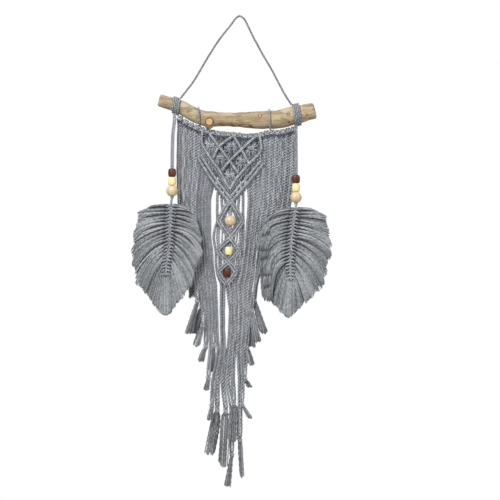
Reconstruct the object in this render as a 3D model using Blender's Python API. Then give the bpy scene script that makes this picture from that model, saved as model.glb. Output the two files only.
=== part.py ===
"""A macrame wall hanging, knotted on a driftwood branch and hung by one cord over a wall nail.

World frame in metres: +X to the right, +Z up, +Y towards the wall. The origin is the point where the
hanger cord lies over the nail. The tables and sizes below hold millimetres.
"""

import math

import bmesh
import bpy
import numpy as np
from mathutils import Vector

MM = 0.001
CLEARANCE = 0.35  # left between neighbouring pieces
TOWARDS_WALL = Vector((0, 1, 0))

# The branch, from its thin left end: the middle of each section and its diameter.
BRANCH_SECTIONS = (
    # x, z, diameter
    (-146.5, -149.4, 17.0),
    (-143, -150.2, 21.8),
    (-124, -156, 21.8),
    (-105, -163.8, 23.4),
    (-88.6, -173, 24.5),
    (-70, -181, 26.0),
    (-54, -183.2, 29.0),
    (-33.5, -184, 25.2),
    (-1, -185.4, 25.6),
    (28.6, -185.4, 29.6),
    (51.5, -184.5, 31.5),
    (67.5, -184.6, 32.0),
    (81.4, -181.8, 34.0),
    (93, -178.2, 34.0),
    (109, -174.6, 32.0),
    (132, -168.3, 29.0),
    (136, -167.2, 24.0),
)
BRANCH_SIDES = 14
BRANCH_WAVE = 0.035  # how uneven its girth is, as a share of the radius
STUB_X, STUB_Z, STUB_RADIUS, STUB_REACH = -55.0, -189.5, 7.5, 17.6

# The single cord from binding to binding, over the nail.
HANGER_DIAMETER = 3.4
HANGER_ROUTE = (
    # x, y, z
    (-106.8, -1.0, -146.3),
    (-95, -0.6, -131),
    (-83.9, -0.3, -116.3),
    (-73.5, 0, -99.3),
    (-63.4, 0, -81.9),
    (-52, 0, -63.2),
    (-40.3, 0, -45.0),
    (-27.5, 0, -28),
    (-15.5, 0, -13.2),
    (-8.5, 0, -3.5),
    (-0.4, 0, 1.7),
    (7.8, 0, -4.0),
    (13.5, 0, -14.5),
    (23.9, 0, -36.0),
    (32, 0, -51),
    (40.0, 0, -65.9),
    (56.2, 0, -93.4),
    (64, 0, -108.2),
    (72.0, 0, -123.3),
    (81.2, -1, -140.4),
    (92.9, -2, -158.4),
)
HANGER_POINTS = 46

# Turns of cord round the branch. A place is counted in branch sections from the left end.
WINDINGS = (
    # name, first section, last section, turns, lean of a turn in sections, thickness
    ("binding_left", 2.10, 2.84, 4, -0.16, 3.3),
    ("binding_right", 13.2, 13.98, 4, 0.17, 3.3),
    ("tie_left", 4.74, 4.94, 1, -0.33, 3.0),
    ("tie_right", 10.02, 10.24, 1, 0.0, 3.0),
)
WINDING_GAP = 0.45  # between a turn and the wood

# The heading bar: lark's head knots side by side, two strands hanging from each.
LARKS_HEADS = 22
STRANDS = 2 * LARKS_HEADS
HEADING = (
    # x, z
    (-112.5, -181.5),
    (-104.4, -184.4),
    (-95.4, -191.8),
    (-88.6, -195.0),
    (-70.2, -203.2),
    (-54, -207.6),
    (-34.2, -211.0),
    (-7.2, -212.6),
    (10.8, -215.1),
    (27, -214.7),
    (39.6, -212.0),
    (51.5, -208.5),
    (67.5, -208.8),
    (81, -206.6),
    (92.9, -203.2),
    (101.7, -201.3),
)
HEADING_HALF_HEIGHT, HEADING_HALF_DEPTH = 4.0, 5.2
PANEL_LEFT, PANEL_RIGHT = HEADING[0][0], HEADING[-1][0]
STRAND_PITCH = (PANEL_RIGHT - PANEL_LEFT) / STRANDS
STRAND_HALF_TOP, STRAND_HALF_LOW = 1.85, 1.5  # half a strand's width, at the heading and where it gathers
LAYER_TOP, LAYER_LOW = 0.5, 2.3  # every other pair of strands lies this far in front, the rest behind
PAIR_SPACING = 3.3  # the least distance between the two strands of a pair
PAIR_STEP = 0.13  # how far the left strand of a pair lies in front of their middle, and the right behind
LAYERS_PART_Z = -238.0  # where the two layers are fully apart
BEAD_LAYER = 1.6  # the same for the two strands that pass through the middle beads
GATHERED_Z = -329.0  # where the strands reach their lower width

# Where chosen strands pass at each height. The strands between two of them are spread evenly.
GUIDE_STRANDS = (0, 8, 17, 18, 19, 20, 21, 22, 23, 24, 25, 26, 32, 43)
GUIDE_ROWS = (
    # z, then x of each guide strand
    (-266, (-110.7, -72.9, -33.3, -27.9, -23.4, -18.9, -14.4, -9.9, -4.5, 0.9, 6.3, 12.6, 44.1, 98.1)),
    (-297, (-109.8, -75.6, -46.8, -37.8, -32.4, -27, -21.6, -16.2, -9.9, -2.7, 5.4, 14.4, 43.2, 95.4)),
    (-329, (-108.9, -79.2, -54.4, -41, -33.3, -26.1, -20.2, -15.3, -9, -1.8, 5.8, 16.2, 42.8, 91.8)),
    (-349, (-107.5, -79.2, -54.4, -41, -31, -25.2, -18.7, -16.4, -9.7, -3.6, 5.4, 15.3, 41, 88.2)),
    (-367, (-105.7, -78.7, -54, -40.7, -36.4, -32.4, -18.7, -16.4, -2.5, 1.8, 5.8, 13.5, 38.7, 82.8)),
    (-384, (-104, -78.1, -54, -45.7, -40, -27.9, -18.7, -16.4, -7.6, 0.9, 6.1, 12.6, 36.9, 79.2)),
    (-398, (-102.6, -77.4, -53.6, -47.5, -40.5, -23.9, -20.2, -18.0, -12.6, -2.7, 5.8, 12.2, 35.1, 74.7)),
    (-421, (-99.9, -76.5, -50.4, -42.7, -38.5, -30.6, -21.3, -19.1, -9.4, -2.2, 5, 11.2, 32.4, 66.6)),
    (-441, (-98.1, -75.1, -49.3, -42.5, -34.2, -25.2, -22.8, -20.6, -15.3, -7.2, 2.9, 9.7, 30.2, 52)),
    (-459, (-96.3, -73.8, -47.9, -41, -37.1, -33.8, -24.9, -22.7, -13.3, -7.9, 1.8, 8.3, 28.4, 42.5)),
    (-481, (-94.5, -72, -43.9, -33.8, -31, -27.7, -24.5, -20.9, -17.6, -12.6, -4.3, 3.6, 26.6, 38)),
    (-527, (-91.8, -66.6, -41, -33.5, -31, -28.4, -18.4, -15.5, -12.6, -9, -5, -0.7, 19.8, 30)),
)
THROUGH_BEADS = (21, 22)

# Eyes of the open net: the strands beside each are pushed apart.
NET_EYES = (
    # x, z, half height
    (-32.4, -221.5, 5),
    (6.7, -228, 8),
    (42.5, -230, 10),
    (-10.8, -244.8, 7),
    (-63, -252, 7),
    (19.8, -275.4, 9),
    (-1.8, -297, 6),
    (-45.9, -279, 9),
    (-36, -295, 6),
)
EYE_PUSH, EYE_REACH = 2.4, 7.0  # how far a strand at the eye moves, and how fast that fades
EYE_BENDS_WITHIN = 9.0  # strands nearer than this to an eye are bent round it

# Knotted bars of the net, the double bars of the V and the three diamonds.
V_POINT = (-17.6, -330)
DIAMONDS = (
    # left corner, right corner, lower corner
    ((-38.7, -367), (5, -368), (-17.4, -397.8)),
    ((-41.4, -420), (-1.4, -421.5), (-20.5, -441.5)),
    ((-39.6, -458.5), (-7.5, -459), (-24.3, -481.5)),
)
NET_HALF_WIDTH, V_HALF_WIDTH, DIAMOND_HALF_WIDTH = 2.4, 4.2, 3.2
BAR_Y, BAR_HALF_DEPTH = -3.4, 3.3  # a bar stands out in front and joins the front layer
NET_BARS = (
    # half width, points from the top
    (NET_HALF_WIDTH, ((-54.9, -210.6), (-18.7, -259.2), (-2.7, -282.6))),
    (NET_HALF_WIDTH, ((26.1, -216.7), (-18.7, -259.2), (-32.4, -277.2))),
    (NET_HALF_WIDTH, ((-11.7, -214), (16.2, -264.6))),
    (NET_HALF_WIDTH, ((-11.7, -214), (-37, -232.9), (-48.6, -254.7))),
    (NET_HALF_WIDTH, ((-67.5, -205), (-68, -228.6), (-47.3, -262.8), (-37, -276.5), (-18.9, -309.6))),
    (NET_HALF_WIDTH, ((35.1, -213.3), (36.9, -241.2), (15.8, -265), (-7.2, -291.4), (-18.9, -311.4))),
    (V_HALF_WIDTH, ((-72.5, -252), (-56.5, -278), (-45, -295), (-30.6, -314), V_POINT)),
    (V_HALF_WIDTH, ((38.7, -262.8), (26.1, -278), (11.2, -296), (-1.8, -310.5), V_POINT)),
)
BAR_RIDGE, RIDGE_WAIST = 9.6, 0.8  # from ridge to ridge, and the waist's share of the width

# The gathering knots under the panel, two strands in each, and where their combed-out tails end.
BUNDLES = (
    # knot x, knot z, tail x, tail z
    (-99, -423, -100.8, -469.8),
    (-88.2, -459, -93.6, -504),
    (-76.7, -511.7, -92, -572.4),
    (-68.6, -520.9, -82.8, -570.6),
    (-66.6, -556.2, -77.4, -593.1),
    (-61.7, -593.1, -70.2, -621),
    (-56.7, -650.9, -60.5, -672),
    (-47.9, -592.2, -52, -639),
    (-50.4, -700.2, -54, -726.1),
    (-41, -707.8, -54.9, -788.4),
    (-25.7, -709.6, -30.6, -813.6),
    (-14.6, -788, -22.5, -849.1),
    (-11, -696.6, -13, -763.2),
    (0, -761.4, 3.6, -828),
    (3.6, -697.7, 18, -721.8),
    (9, -650.9, 17.5, -667.8),
    (12.4, -594, 20, -626.4),
    (17.6, -551.9, 22.5, -595.8),
    (21.4, -528.8, 30.5, -586.8),
    (26, -509.4, 43.2, -570.6),
    (39.6, -459, 46.8, -505.8),
    (57.6, -441, 64.8, -491.4),
)
KNOT_HALF_LENGTH, KNOT_HALF_WIDTH = 4.6, 3.8
KNOT_STEPS = (
    # how far up the knot, and its swell
    (1.0, 0.7),
    (0.4, 1.0),
    (-0.4, 1.0),
    (-1.0, 0.7),
)
KNOT_PINCH = 0.6  # the two strands draw this much nearer inside their knot
TAIL_DEPTH = 6.4  # the tails of neighbouring bundles lie this far in front and behind
TAIL_STEPS = (
    # share of the way down, half width, half depth
    (0.0, 2.6, 2.6),
    (0.4, 5.2, 2.4),
    (0.8, 7.0, 2.2),
    (1.0, 5.0, 1.6),
)

# The two feathers, each on two strap cords that pass through three beads.
STRAP_HALF = 1.5
STRAP_Y = -16.0
STRAP_SPREAD = 1.6
STRAP_BEND_DROP, STRAP_BEND_SHARE = 45.0, 0.75  # where a strap has come away from the branch
STRAP_ABOVE_BEADS = 4.0
FEATHERS = (
    # name, strap x at the binding, strap top z, strap y there, bead x, first bead's top z
    ("left", -117.5, -173.8, -8.5, -121.4, -273.8),
    ("right", 100.2, -195.2, -11.0, 100.4, -285.0),
)
SPINES = {
    # x, z
    "left": ((-123, -337), (-125, -371), (-126, -397), (-128, -423), (-131, -440), (-133, -466)),
    "right": ((100.1, -343), (96, -367), (93, -395), (91, -422), (90, -450), (91, -474)),
}
LEAF_EDGES = {
    # Where the tips of the locks end, from the shoulder down to the point of the leaf.
    ("left", "left"): (
        (-160, -340), (-183, -352), (-190, -388), (-194, -423), (-192, -456), (-183, -485),
        (-162, -510), (-147, -529), (-138, -536),
    ),
    ("left", "right"): (
        (-98, -341), (-76, -362), (-67, -400), (-66, -424), (-76, -457), (-87, -486),
        (-103, -506), (-114, -519), (-123, -532),
    ),
    ("right", "left"): (
        (62, -352), (40, -371), (28, -405), (32, -437), (38, -474), (45, -508),
        (60, -520), (73, -531), (82, -540),
    ),
    ("right", "right"): (
        (130, -345), (156, -358), (162, -388), (165, -422), (158, -450), (149, -481),
        (133, -502), (116, -516), (97, -534),
    ),
}
LOCKS_PER_SIDE = 15
LOCK_ROOT_HALF, LOCK_HALF_WIDTH, LOCK_TIP_HALF, LOCK_HALF_DEPTH = 3.6, 6.0, 5.0, 2.8
LOCK_STEPS = 3
LOCK_BEND_ACROSS, LOCK_BEND_DOWN = 0.62, 0.28  # a lock goes sideways first, then droops
POINT_LOCK_ROOT = 0.98  # where on the spine the lowest lock leaves
SPINE_HALF_WIDTH, SPINE_HALF_DEPTH, SPINE_RIDGE = 5.0, 5.2, 9.6
SPINE_DROP = 0.5  # more room under the last bead, where the spine leans
LEAF_POINT = {"left": (-131, -538), "right": (88, -542)}

# Wooden beads.
BORE_RADIUS = 4.1
MIDDLE_BORE_RADIUS = 4.3
ROUND_RADIUS, BARREL_RADIUS = 10.4, 7.2
BARREL_HALF_LENGTH = 7.4
ROUND_STEPS = 5
MIDDLE_BEADS = (
    # name, wood, x, z, round
    ("bead_middle_top", "bead_natural", -17.55, -366.6, True),
    ("bead_middle_centre", "bead_yellow", -20.3, -421, False),
    ("bead_middle_low", "bead_dark", -23.5, -460.0, False),
)

COLOURS = {
    # name: colour, roughness
    "cord": ((0.27, 0.28, 0.30, 1), 0.9),
    "wood": ((0.45, 0.34, 0.21, 1), 0.8),
    "bead_dark": ((0.12, 0.04, 0.015, 1), 0.4),
    "bead_yellow": ((0.90, 0.78, 0.38, 1), 0.45),
    "bead_natural": ((0.80, 0.62, 0.40, 1), 0.5),
}


def clear_scene():
    for thing in list(bpy.data.objects):
        bpy.data.objects.remove(thing, do_unlink=True)


def material(name):
    if name in bpy.data.materials:
        return bpy.data.materials[name]
    colour, roughness = COLOURS[name]
    made = bpy.data.materials.new(name)
    made.use_nodes = True
    shader = made.node_tree.nodes["Principled BSDF"]
    shader.inputs["Base Color"].default_value = colour
    shader.inputs["Roughness"].default_value = roughness
    shader.inputs["Metallic"].default_value = 0.0
    return made


def add_object(name, mesh, material_name, location=(0, 0, 0)):
    """Links a mesh in metres as a named object; its location is given in millimetres."""
    mesh.materials.append(material(material_name))
    made = bpy.data.objects.new(name, mesh)
    made.location = Vector(location) * MM
    bpy.context.collection.objects.link(made)
    return made


def mesh_of(name, shape):
    """Turns a bmesh in millimetres into a mesh in metres with its faces outwards."""
    bmesh.ops.recalc_face_normals(shape, faces=shape.faces)
    bmesh.ops.scale(shape, vec=(MM, MM, MM), verts=shape.verts)
    mesh = bpy.data.meshes.new(name)
    shape.to_mesh(mesh)
    shape.free()
    return mesh


def fused_object(name, shells, core, material_name):
    """One body: every tube in shells is joined with the others and with the core."""
    helper = add_object(name + "_core", mesh_of(name + "_core", core), material_name)
    helper.hide_render = True
    helper.display_type = "WIRE"
    made = add_object(name, mesh_of(name, shells), material_name)
    joined = made.modifiers.new("join", "BOOLEAN")
    joined.operation = "UNION"
    joined.object = helper
    joined.use_self = True
    return made


def skin_grid(shape, rows, wrap_rows):
    """Faces between rows of points. Each row closes on itself; wrap_rows joins the last row to the first."""
    made = [[shape.verts.new(point) for point in row] for row in rows]
    pairs = list(zip(made, made[1:])) + ([(made[-1], made[0])] if wrap_rows else [])
    for one, two in pairs:
        for k in range(len(one)):
            j = (k + 1) % len(one)
            shape.faces.new((one[k], one[j], two[j], two[k]))
    if not wrap_rows:
        shape.faces.new(made[0][::-1])
        shape.faces.new(made[-1])


def add_tube(shape, path, half_widths, half_depths, sides=4, corner=0.0):
    """A closed tube along a path. Half widths lie in the viewer's plane, half depths towards the wall."""
    rows = []
    for i, point in enumerate(path):
        along = (path[min(i + 1, len(path) - 1)] - path[max(i - 1, 0)]).normalized()
        across = along.cross(TOWARDS_WALL).normalized()
        deep = across.cross(along)
        row = []
        for k in range(sides):
            angle = corner + math.tau * k / sides
            row.append(
                point + across * half_widths[i] * math.cos(angle) + deep * half_depths[i] * math.sin(angle)
            )
        rows.append(row)
    skin_grid(shape, rows, wrap_rows=False)


def add_cord(shape, path, halves):
    """A cord of three sides, with an edge to the viewer and a flat side to the wall."""
    reach = [half / math.cos(math.pi / 6) for half in halves]
    add_tube(shape, path, reach, reach, sides=3, corner=-math.pi / 2)


def along_polyline(points, share):
    """The point at a share of a polyline's length."""
    lengths = [(b - a).length for a, b in zip(points, points[1:])]
    left = share * sum(lengths)
    for a, b, length in zip(points, points[1:], lengths):
        if left <= length:
            return a.lerp(b, left / length)
        left -= length
    return points[-1].copy()


def ridged_bar(shape, points, half_width, half_depth, ridge=BAR_RIDGE, sides=4):
    """A row of knots: a tube that swells at each ridge and narrows between them."""
    length = sum((b - a).length for a, b in zip(points, points[1:]))
    steps = 2 * max(2, round(length / ridge))
    path = [along_polyline(points, i / steps) for i in range(steps + 1)]
    swell = [1.0 if i % 2 else RIDGE_WAIST for i in range(steps + 1)]
    add_tube(shape, path, [half_width * s for s in swell], [half_depth * s for s in swell], sides)


def facing(points, y=0.0):
    return [Vector((x, y, z)) for x, z in points]


def straightened(path, tolerance=0.5):
    """Drops the points that lie within tolerance of the straight run between the kept ones."""
    if len(path) < 3:
        return path
    run = path[-1] - path[0]
    off = [
        (point - path[0] - run * ((point - path[0]).dot(run) / run.length_squared)).length
        for point in path[1:-1]
    ]
    worst = max(off)
    if worst <= tolerance:
        return [path[0], path[-1]]
    split = off.index(worst) + 1
    return straightened(path[: split + 1], tolerance)[:-1] + straightened(path[split:], tolerance)


# The branch and what is wound round it


def branch_section(index):
    """The ring of points round one section, and its middle."""
    x, z, diameter = BRANCH_SECTIONS[index]
    before = BRANCH_SECTIONS[max(index - 1, 0)]
    after = BRANCH_SECTIONS[min(index + 1, len(BRANCH_SECTIONS) - 1)]
    along = Vector((after[0] - before[0], 0, after[1] - before[1])).normalized()
    upwards = TOWARDS_WALL.cross(along) * -1
    middle = Vector((x, 0, z))
    ring = []
    for k in range(BRANCH_SIDES):
        angle = math.tau * k / BRANCH_SIDES
        wave = 1 + BRANCH_WAVE * (math.sin(2 * angle + 1.3 * index) + math.sin(3 * angle - 0.8 * index)) / 2
        radial = upwards * math.cos(angle) + TOWARDS_WALL * math.sin(angle)
        ring.append(middle + radial * wave * diameter / 2)
    return middle, ring


def branch_point(place, k, offset):
    """A point on the wood's side k at a place counted in sections, moved out by offset."""
    index = min(int(place), len(BRANCH_SECTIONS) - 2)
    share = place - index
    middle_0, ring_0 = branch_section(index)
    middle_1, ring_1 = branch_section(index + 1)
    point = ring_0[k].lerp(ring_1[k], share)
    return point + (point - middle_0.lerp(middle_1, share)).normalized() * offset


def make_branch():
    wood, stub = bmesh.new(), bmesh.new()
    rings = [branch_section(index)[1] for index in range(len(BRANCH_SECTIONS))]
    skin_grid(wood, rings, wrap_rows=False)
    path = [Vector((STUB_X, -y, STUB_Z)) for y in (5, STUB_REACH - 1, STUB_REACH)]
    rows = []
    for point, radius in zip(path, (STUB_RADIUS + 1.5, STUB_RADIUS, STUB_RADIUS - 1.5)):
        angles = [math.tau * k / 10 for k in range(10)]
        rows.append([point + Vector((math.cos(a), 0, math.sin(a) * 1.25)) * radius for a in angles])
    skin_grid(stub, rows, wrap_rows=False)
    fused_object("branch", wood, stub, "wood")


def make_windings():
    for name, first, last, turns, lean, thickness in WINDINGS:
        profile = [(0.0, 0.5)]
        for turn in range(turns):
            profile += [((turn + 0.5) / turns, 1.0), ((turn + 1) / turns, 0.72)]
        profile[-1] = (1.0, 0.5)
        outline = [(share, WINDING_GAP + height * thickness) for share, height in profile]
        outline += [(1.0, WINDING_GAP), (0.0, WINDING_GAP)]
        rows = []
        for share, offset in outline:
            row = []
            for k in range(BRANCH_SIDES):
                swing = lean * math.cos(math.tau * k / BRANCH_SIDES)
                row.append(branch_point(first + (last - first) * share + swing, k, offset))
            rows.append(row)
        shape = bmesh.new()
        skin_grid(shape, rows, wrap_rows=True)
        add_object(name, mesh_of(name, shape), "cord")


def smooth_points(route, count):
    """Points read from one smooth curve through the route, evenly spaced along it."""
    ends = [route[0] * 2 - route[1]] + route + [route[-1] * 2 - route[-2]]
    dense = []
    fine = 20
    for a, b, c, d in zip(ends, ends[1:], ends[2:], ends[3:]):
        for step in range(fine):
            t = step / fine
            square, cube = a * 2 - b * 5 + c * 4 - d, b * 3 - a - c * 3 + d
            dense.append((b * 2 + (c - a) * t + square * t**2 + cube * t**3) / 2)
    dense.append(route[-1])
    return [along_polyline(dense, i / (count - 1)) for i in range(count)]


def make_hanger_cord():
    points = smooth_points([Vector(point) for point in HANGER_ROUTE], HANGER_POINTS)
    curve = bpy.data.curves.new("hanger_cord", "CURVE")
    curve.dimensions = "3D"
    curve.bevel_depth = HANGER_DIAMETER / 2 * MM
    curve.bevel_resolution = 2
    curve.use_fill_caps = True
    spline = curve.splines.new("POLY")
    spline.points.add(len(points) - 1)
    for knot, point in zip(spline.points, points):
        knot.co = (*(point * MM), 1)
    curve.materials.append(material("cord"))
    bpy.context.collection.objects.link(bpy.data.objects.new("hanger_cord", curve))


# The panel


def heading_z(x):
    return float(np.interp(x, [row[0] for row in HEADING], [row[1] for row in HEADING]))


def strand_start(strand):
    return PANEL_LEFT + (strand + 0.5) * STRAND_PITCH


def strand_half(z):
    return float(np.interp(z, (GATHERED_Z, LAYERS_PART_Z), (STRAND_HALF_LOW, STRAND_HALF_TOP)))


def bundle_side(bundle):
    """Towards the viewer or towards the wall."""
    return 1 if bundle % 2 else -1


def strand_layer(strand, z):
    depth = float(np.interp(z, (LAYERS_PART_Z, heading_z(strand_start(strand))), (LAYER_LOW, LAYER_TOP)))
    if strand in THROUGH_BEADS and z < GATHERED_Z:
        depth = BEAD_LAYER
    return depth * bundle_side(strand // 2) + (PAIR_STEP if strand % 2 else -PAIR_STEP)


def guided_x(strand, z):
    """Where a strand passes at a height: read between the guide rows, then pushed aside by the eyes."""
    x_start = strand_start(strand)
    heights, places = [-heading_z(x_start)], [x_start]
    for row_z, row in GUIDE_ROWS:
        heights.append(-row_z)
        places.append(float(np.interp(strand, GUIDE_STRANDS, row)))
    x = float(np.interp(-z, heights, places))
    for eye_x, eye_z, half_height in NET_EYES:
        near = 1 - ((z - eye_z) / half_height) ** 2
        if near > 0:
            x += math.copysign(EYE_PUSH * near * math.exp(-abs(x - eye_x) / EYE_REACH), x - eye_x)
    return x


def strand_x(strand, z):
    """The same, with the two strands of a pair kept apart."""
    x, other = guided_x(strand, z), guided_x(strand ^ 1, z)
    middle, half = (x + other) / 2, max(abs(x - other), PAIR_SPACING) / 2
    return middle + (half if strand % 2 else -half)


def strand_path(strand):
    """From the heading, through the net, to the strand's gathering knot."""
    knot_x, knot_z = BUNDLES[strand // 2][:2]
    x_start = strand_start(strand)
    heights = {heading_z(x_start)}
    heights |= {z for z, _ in GUIDE_ROWS if z > knot_z + 2 * KNOT_HALF_LENGTH} | {LAYERS_PART_Z}
    for eye_x, eye_z, half_height in NET_EYES:
        if abs(strand_x(strand, eye_z) - eye_x) < EYE_BENDS_WITHIN:
            heights |= {eye_z + half_height, eye_z, eye_z - half_height}
    heights = [z for z in sorted(heights, reverse=True) if z <= heading_z(x_start)]
    path = [Vector((strand_x(strand, z), strand_layer(strand, z), z)) for z in heights]
    side = PAIR_SPACING / 2 if strand % 2 else -PAIR_SPACING / 2
    low_y = strand_layer(strand, knot_z)
    path.append(Vector((knot_x + side, low_y, knot_z + KNOT_HALF_LENGTH)))
    return straightened(path) + [Vector((knot_x + KNOT_PINCH * side, low_y, knot_z))]


def add_strand(shape, strand):
    path = strand_path(strand)
    add_cord(shape, path, [strand_half(point.z) for point in path])


def add_gathering_knot(shape, bundle):
    knot_x, knot_z = BUNDLES[bundle][:2]
    knot_y = LAYER_LOW * bundle_side(bundle)
    path = [Vector((knot_x, knot_y, knot_z + KNOT_HALF_LENGTH * up)) for up, _ in KNOT_STEPS]
    widths = [KNOT_HALF_WIDTH * swell for _, swell in KNOT_STEPS]
    add_tube(shape, path, widths, widths)


def add_tail(shape, bundle):
    """The combed-out ends under a gathering knot, as one flat brush that spreads towards its tip."""
    knot_x, knot_z, tail_x, tail_z = BUNDLES[bundle]
    path, widths, depths = [], [], []
    for share, width, thickness in TAIL_STEPS:
        y = bundle_side(bundle) * float(np.interp(share, (0, TAIL_STEPS[1][0]), (LAYER_LOW, TAIL_DEPTH)))
        path.append(Vector((knot_x + (tail_x - knot_x) * share, y, knot_z + (tail_z - knot_z) * share)))
        widths.append(width)
        depths.append(thickness)
    add_tube(shape, path, widths, depths)


def make_panel():
    shells, heading = bmesh.new(), bmesh.new()
    for strand in range(STRANDS):
        add_strand(shells, strand)
    for half_width, points in NET_BARS:
        ridged_bar(shells, facing(points, BAR_Y), half_width, BAR_HALF_DEPTH)
    top = V_POINT
    for left, right, low in DIAMONDS:
        for corner in (left, right):
            ridged_bar(shells, facing((top, corner, low), BAR_Y), DIAMOND_HALF_WIDTH, BAR_HALF_DEPTH)
        top = low
    for bundle in range(len(BUNDLES)):
        add_gathering_knot(shells, bundle)
        add_tail(shells, bundle)
    ridged_bar(heading, facing(HEADING), HEADING_HALF_HEIGHT, HEADING_HALF_DEPTH, 2 * STRAND_PITCH)
    fused_object("macrame_panel", shells, heading, "cord")


# Beads and feathers


def bead_mesh(name, outline, sides=10):
    """A turned bead about Z: outline runs down the outside, then up the bore, as radius and height."""
    shape = bmesh.new()
    rows = []
    for radius, height in outline:
        angles = [math.tau * k / sides for k in range(sides)]
        rows.append([Vector((math.cos(a) * radius, math.sin(a) * radius, height)) for a in angles])
    skin_grid(shape, rows, wrap_rows=True)
    return mesh_of(name, shape)


def round_bead_mesh(bore):
    start = math.asin(bore / ROUND_RADIUS)
    outline = []
    for step in range(ROUND_STEPS + 1):
        angle = start + (math.pi - 2 * start) * step / ROUND_STEPS
        outline.append((ROUND_RADIUS * math.sin(angle), ROUND_RADIUS * math.cos(angle)))
    return bead_mesh("round_bead", outline + [(bore - 0.05, outline[-1][1]), (bore - 0.05, outline[0][1])])


def barrel_bead_mesh(bore):
    half = BARREL_HALF_LENGTH
    outline = [(bore + 0.9, half), (BARREL_RADIUS * 0.94, half * 0.6), (BARREL_RADIUS, 0)]
    outline += [(radius, -height) for radius, height in outline[1::-1]]
    return bead_mesh("barrel_bead", outline + [(bore, -half), (bore, half)])


def round_half_length(bore):
    return math.sqrt(ROUND_RADIUS**2 - bore**2)


def make_feather(name, strap_x, strap_z, strap_y, bead_x, beads_top):
    beads = (("dark", False), ("yellow", False), ("natural", True))
    z = beads_top
    for colour, is_round in beads:
        half = round_half_length(BORE_RADIUS) if is_round else BARREL_HALF_LENGTH
        mesh = round_bead_mesh(BORE_RADIUS) if is_round else barrel_bead_mesh(BORE_RADIUS)
        add_object(f"bead_{name}_{colour}", mesh, f"bead_{colour}", (bead_x, STRAP_Y, z - half))
        z -= 2 * half + CLEARANCE
    z -= SPINE_DROP
    spine_points = [Vector((bead_x, STRAP_Y, z))] + facing(SPINES[name], STRAP_Y)
    straps_and_locks, spine = bmesh.new(), bmesh.new()
    bend_x = strap_x + (bead_x - strap_x) * STRAP_BEND_SHARE
    strap = [
        Vector((strap_x, strap_y, strap_z)),
        Vector((bend_x, STRAP_Y, strap_z - STRAP_BEND_DROP)),
        Vector((bead_x, STRAP_Y, beads_top + STRAP_ABOVE_BEADS)),
        Vector((bead_x, STRAP_Y, z - SPINE_RIDGE / 2)),
    ]
    for spread in (-STRAP_SPREAD, STRAP_SPREAD):
        path = [point + Vector((spread, 0, 0)) for point in strap]
        add_cord(straps_and_locks, path, [STRAP_HALF] * len(path))
    for side in ("left", "right"):
        edge = facing(LEAF_EDGES[(name, side)], STRAP_Y)
        for lock in range(LOCKS_PER_SIDE):
            share = (lock + 0.5) / LOCKS_PER_SIDE
            add_lock(straps_and_locks, along_polyline(spine_points[1:], share), along_polyline(edge, share))
    leaf_point = facing([LEAF_POINT[name]], STRAP_Y)[0]
    add_lock(straps_and_locks, along_polyline(spine_points, POINT_LOCK_ROOT), leaf_point)
    ridged_bar(spine, spine_points, SPINE_HALF_WIDTH, SPINE_HALF_DEPTH, SPINE_RIDGE)
    fused_object(f"feather_{name}", straps_and_locks, spine, "cord")


def add_lock(shape, root, tip):
    """A combed-out lock that leaves the spine sideways and then droops to its tip."""
    bend = root + Vector(((tip.x - root.x) * LOCK_BEND_ACROSS, 0, (tip.z - root.z) * LOCK_BEND_DOWN))
    path, widths = [], []
    for step in range(LOCK_STEPS + 1):
        t = step / LOCK_STEPS
        path.append(root.lerp(bend, t).lerp(bend.lerp(tip, t), t))
        widths.append(float(np.interp(t, (0, 0.8, 1), (LOCK_ROOT_HALF, LOCK_HALF_WIDTH, LOCK_TIP_HALF))))
    add_tube(shape, path, widths, [LOCK_HALF_DEPTH] * len(path), sides=3, corner=-math.pi / 2)


def make_middle_beads():
    for name, wood, x, z, is_round in MIDDLE_BEADS:
        bore = MIDDLE_BORE_RADIUS
        mesh = round_bead_mesh(bore) if is_round else barrel_bead_mesh(bore)
        add_object(name, mesh, wood, (x, 0, z))


def build():
    clear_scene()
    make_branch()
    make_windings()
    make_hanger_cord()
    make_panel()
    for row in FEATHERS:
        make_feather(*row)
    make_middle_beads()


build()
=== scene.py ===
# %% [markdown]
# # A macrame wall hanging
#
# A stick of driftwood carries a panel of knotted grey cotton cord, two combed-out feathers and nine
# wooden beads, and one cord hangs it from a nail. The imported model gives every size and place. This
# script dresses it: real cords are twisted from thin yarns, so nearly every piece here is made by
# winding a small cross-section along a line. We first load the model and keep its box, to compare with
# the dressed one at the end.

# %% The frame
import math

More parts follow.
